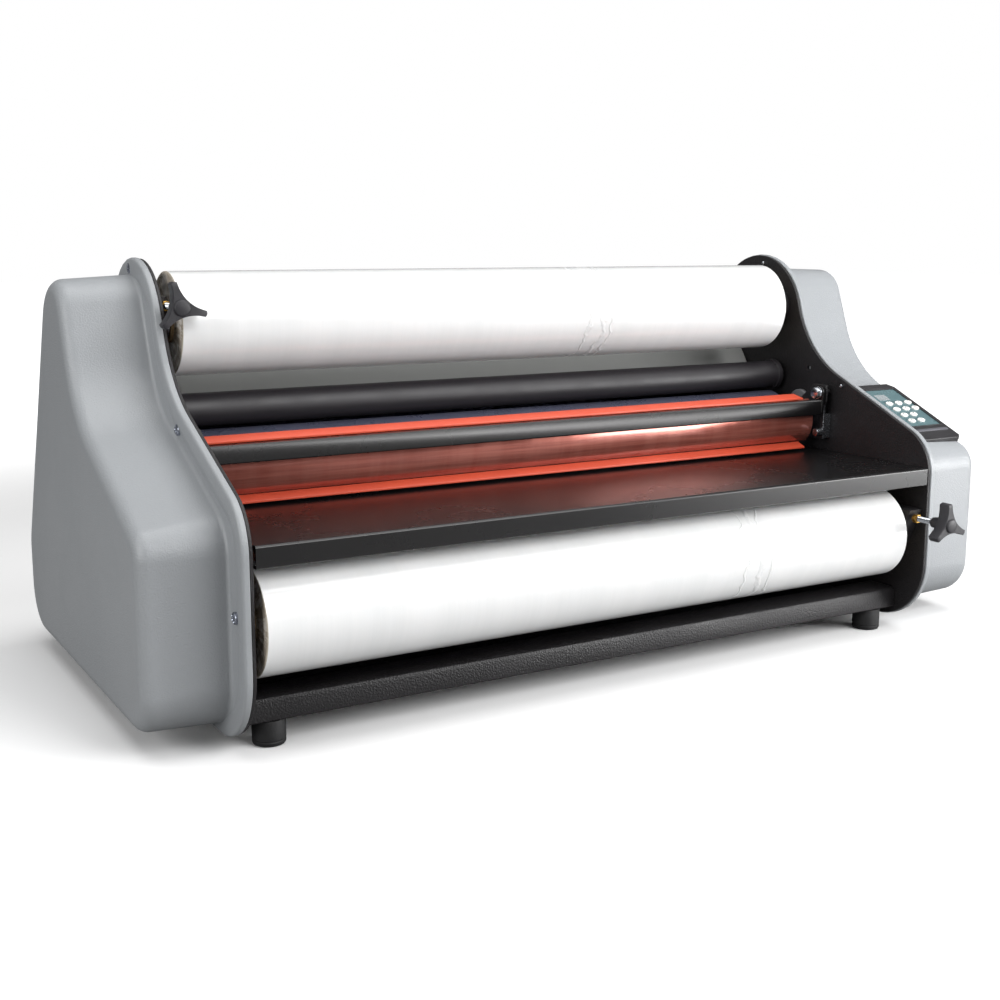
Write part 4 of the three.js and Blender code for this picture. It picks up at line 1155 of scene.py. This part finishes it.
def roundedRectangle(x0, x1, y0, y1, corner, steps=6):
    points = []
    for cx, cy, start in ((x1 - corner, y1 - corner, 0), (x0 + corner, y1 - corner, 90),
                          (x0 + corner, y0 + corner, 180), (x1 - corner, y0 + corner, 270)):
        for k in range(steps + 1):
            a = math.radians(start + 90 * k / steps)
            points.append((cx + corner * math.cos(a), cy + corner * math.sin(a)))
    return points


def slabShape(x0, x1, y0, y1, z0, z1, corner, edge=0.25):
    # A flat slab with round corners and an eased top edge, in the panel's own plane
    shape = bmesh.new()
    levels = ((z0, 0), (z1 - edge, 0), (z1 - edge * 0.3, edge * 0.3), (z1, edge))
    rings = [addRing(shape, [(x, y, z) for x, y in roundedRectangle(
        x0 + inset, x1 - inset, y0 + inset, y1 - inset, corner - inset)]) for z, inset in levels]
    return stackRings(shape, rings, True)


def ovalPoints(cx, cy, width, depth, count=40, power=2.3):
    points = []
    for k in range(count):
        a = 2 * math.pi * k / count
        c, t = math.cos(a), math.sin(a)
        points.append((cx + width / 2 * math.copysign(abs(c) ** (2 / power), c),
                       cy + depth / 2 * math.copysign(abs(t) ** (2 / power), t)))
    return points


def sheetWithHoles(outer, holes, low, high):
    shape = bmesh.new()
    lowRings, highRings = [], []
    for loop in [outer] + holes:
        pair = [addRing(shape, [(x, y, z) for x, y in loop]) for z in (low, high)]
        bridgeRings(shape, *pair)
        lowRings.append(pair[0])
        highRings.append(pair[1])
    fillBetween(shape, *lowRings)
    fillBetween(shape, *highRings)
    bmesh.ops.recalc_face_normals(shape, faces=shape.faces)
    return shape


buttonMould = {"width": 9.6, "depth": 6.8, "hole": (10.2, 7.4), "root": -5.0, "proud": 0.9,
               "columns": (436.5, 451, 465.5),
               "rows": ((-19.5, 3), (-32, 3), (-44.5, 2), (-57, 2)), "inkLift": 0.05, "inkDrop": 1.2}
buttonPlaces = [(buttonMould["columns"][column], y) for y, count in buttonMould["rows"] for column in range(count)]


def capShape(cx, cy):
    # An oval key with a softly crowned top
    mould = buttonMould
    shape = bmesh.new()
    profile = [(1.0, mould["root"]), (1.0, 0.1), (0.985, 0.45), (0.94, 0.7), (0.84, 0.82), (0.6, 0.88)]
    rings = [addRing(shape, [(x, y, z) for x, y in
                             ovalPoints(cx, cy, mould["width"] * scale, mould["depth"] * scale)])
             for scale, z in profile]
    stackRings(shape, rings)
    shape.faces.new(rings[0])
    top = shape.verts.new((cx, cy, mould["proud"] - 0.01))
    for k in range(len(rings[-1])):
        shape.faces.new((rings[-1][k], rings[-1][(k + 1) % len(rings[-1])], top))
    bmesh.ops.recalc_face_normals(shape, faces=shape.faces)
    return shape


def inkShape(cx, cy, marks):
    # Thin printed marks: each mark is a convex outline about the key's middle
    shape = bmesh.new()
    for mark in marks:
        rings = [addRing(shape, [(cx + x, cy + y, z) for x, y in mark])
                 for z in (0.6, buttonMould["proud"] + buttonMould["inkLift"])]
        stackRings(shape, rings, True)
    return shape


def bar(x0, x1, y0, y1):
    return [(x0, y0), (x1, y0), (x1, y1), (x0, y1)]


def dot(radius, y):
    return [(a, y + b) for a, b in circlePoints(radius, 20)]


keyMarks = [
    [[(-1.3, 1.6), (1.3, 1.6), (0, 3.2)]],
    [[(-1.3, 3.0), (1.3, 3.0), (0, 1.4)]],
    [bar(-1.4, 1.4, 2.0, 2.6), bar(-0.3, 0.3, 2.7, 3.3), bar(-0.3, 0.3, 1.3, 1.9)],
    [bar(-1.5, 1.5, 2.1, 2.7)],
    [dot(0.9, 2.3)],
    [bar(-1.2, -0.4, 1.5, 3.1), bar(0.4, 1.2, 1.5, 3.1)],
    [[(-1.1, 1.5), (1.3, 2.3), (-1.1, 3.1)]],
    [bar(-0.8, 0.8, 1.5, 3.1)],
    [bar(-1.4, -0.6, 1.6, 3.0), bar(-0.4, 0.4, 1.9, 2.7), bar(0.6, 1.4, 1.6, 3.0)],
    [[(1.1, 1.5), (1.1, 3.1), (-1.3, 2.3)]],
]


def makePanelPiece(name, shape, body, finishName, slotName, replaced=(), smoothAngle=30):
    shape.transform(panelPlace)
    makePiece(name, shape, body, [finish[finishName]], slotName, replaced, smoothAngle)


def makePanel():
    label, housingSlot = panelMould["label"], slotOf["panel_housing"]
    reworkNode("panel_housing", finish["housingBlack"], 0.3, 2, 30)
    keyHoles = [ovalPoints(x, y, *buttonMould["hole"]) for x, y in buttonPlaces]
    makePanelPiece("panel_label", sheetWithHoles(roundedRectangle(*label, 1.5), keyHoles, -0.98, -0.7), "frame",
                   "labelTeal", housingSlot)
    makePanelPiece("panel_window", sheetWithHoles(roundedRectangle(*panelMould["window"], 1.0), [], -0.7, -0.5),
                   "frame", "windowGrey", housingSlot)
    makePanelPiece("panel_ledge", slabShape(*panelMould["ledge"], corner=0.9, edge=0.5), "frame", "ledgeGrey",
                   housingSlot, (), 40)
    grow = panelMould["rimWidth"]
    rimOutside = roundedRectangle(label[0] - grow, label[1] + grow, label[2] - grow, label[3] + grow, 2.2)
    rim = sheetWithHoles(rimOutside, [roundedRectangle(*label, 1.4)], -0.4, 0.35)
    bevelSharp(rim, 0.15, 1)
    makePanelPiece("panel_label_rim", rim, "frame", "housingBlack", housingSlot)
    for index, (x, y) in enumerate(buttonPlaces, start=1):
        makePanelPiece(f"key_{index}_cap", capShape(x, y), f"button_{index}", "buttonIvory", "buttonWhite",
                       (f"panel_button_{index}",), 50)
        makePanelPiece(f"key_{index}_mark", inkShape(x, y - buttonMould["inkDrop"], keyMarks[index - 1]),
                       f"button_{index}", "symbolInk", "buttonWhite")


makePanel()
print("control panel made")


studio = {"floorSeen": srgb(250, 250, 250), "floorLit": srgb(150, 150, 150), "room": 0.2, "size": 14,
          "fadeFrom": 0.9, "fadeTo": 2.2}
softboxes = {
    "overhead": {"place": (0, -250, 1900), "aim": (0, 0, 200), "size": (2.4, 1.4), "power": 30},
    "key": {"place": (700, -1900, 1500), "aim": (0, 0, 200), "size": (1.6, 1.4), "power": 41},
    "leftFill": {"place": (-2300, -700, 900), "aim": (0, 0, 200), "size": (1.4, 1.4), "power": 26},
    "lowRight": {"place": (1330, -1120, 320), "aim": (280, -150, 260), "size": (0.8, 0.62), "power": 22},
}


def makeStudio():
    floorMesh = bpy.data.meshes.new("studioFloor")
    size = studio["size"]
    corners = [(-size, -size, 0), (size, -size, 0), (size, size, 0), (-size, size, 0)]
    floorMesh.from_pydata(corners, [], [(0, 1, 2, 3)])
    floor = bpy.data.objects.new("studioFloor", floorMesh)
    scene.collection.objects.link(floor)
    floor.location.z = -0.0003
    material, sketch, shader, where = startMaterial("studioPaper", 0.9)
    shader.inputs["Specular IOR Level"].default_value = 0.1
    seen = sketch.add("ShaderNodeLightPath").outputs["Is Camera Ray"]
    sketch.join(sketch.mixColour(seen, studio["floorLit"], studio["floorSeen"]), shader.inputs["Base Color"])
    distance = sketch.add("ShaderNodeVectorMath", operation="LENGTH")
    sketch.join(where, distance.inputs[0])
    far = sketch.mapRange(distance.outputs["Value"], studio["fadeFrom"], studio["fadeTo"], smooth=True)
    glow = sketch.mixColour(sketch.math("MULTIPLY", far, seen), (0, 0, 0, 1), (1, 1, 1, 1))
    sketch.join(glow, shader.inputs["Emission Color"])
    shader.inputs["Emission Strength"].default_value = 1.0
    floorMesh.materials.append(material)
    world = bpy.data.worlds.new("studioWorld")
    scene.world = world
    world.use_nodes = True
    sky = NodeSketch(world.node_tree)
    background = world.node_tree.nodes["Background"]
    background.inputs["Color"].default_value = (1, 1, 1, 1)
    seen = sky.add("ShaderNodeLightPath").outputs["Is Camera Ray"]
    strength = sky.mapRange(seen, 0, 1, studio["room"], 1.0)
    sky.join(strength, background.inputs["Strength"])


def placeSoftboxes():
    for name, box in softboxes.items():
        data = bpy.data.lights.new(name + "Softbox", "AREA")
        data.shape = "RECTANGLE"
        data.size, data.size_y = box["size"]
        data.energy = box["power"]
        lamp = bpy.data.objects.new(name + "Softbox", data)
        scene.collection.objects.link(lamp)
        lamp.location = toRow @ Vector(box["place"])
        aim = (toRow @ Vector(box["aim"])) - lamp.location
        lamp.rotation_euler = aim.to_track_quat("-Z", "Y").to_euler()


makeStudio()
placeSoftboxes()
scene.view_settings.view_transform = "Standard"
print("studio made")

print("pieces placed")
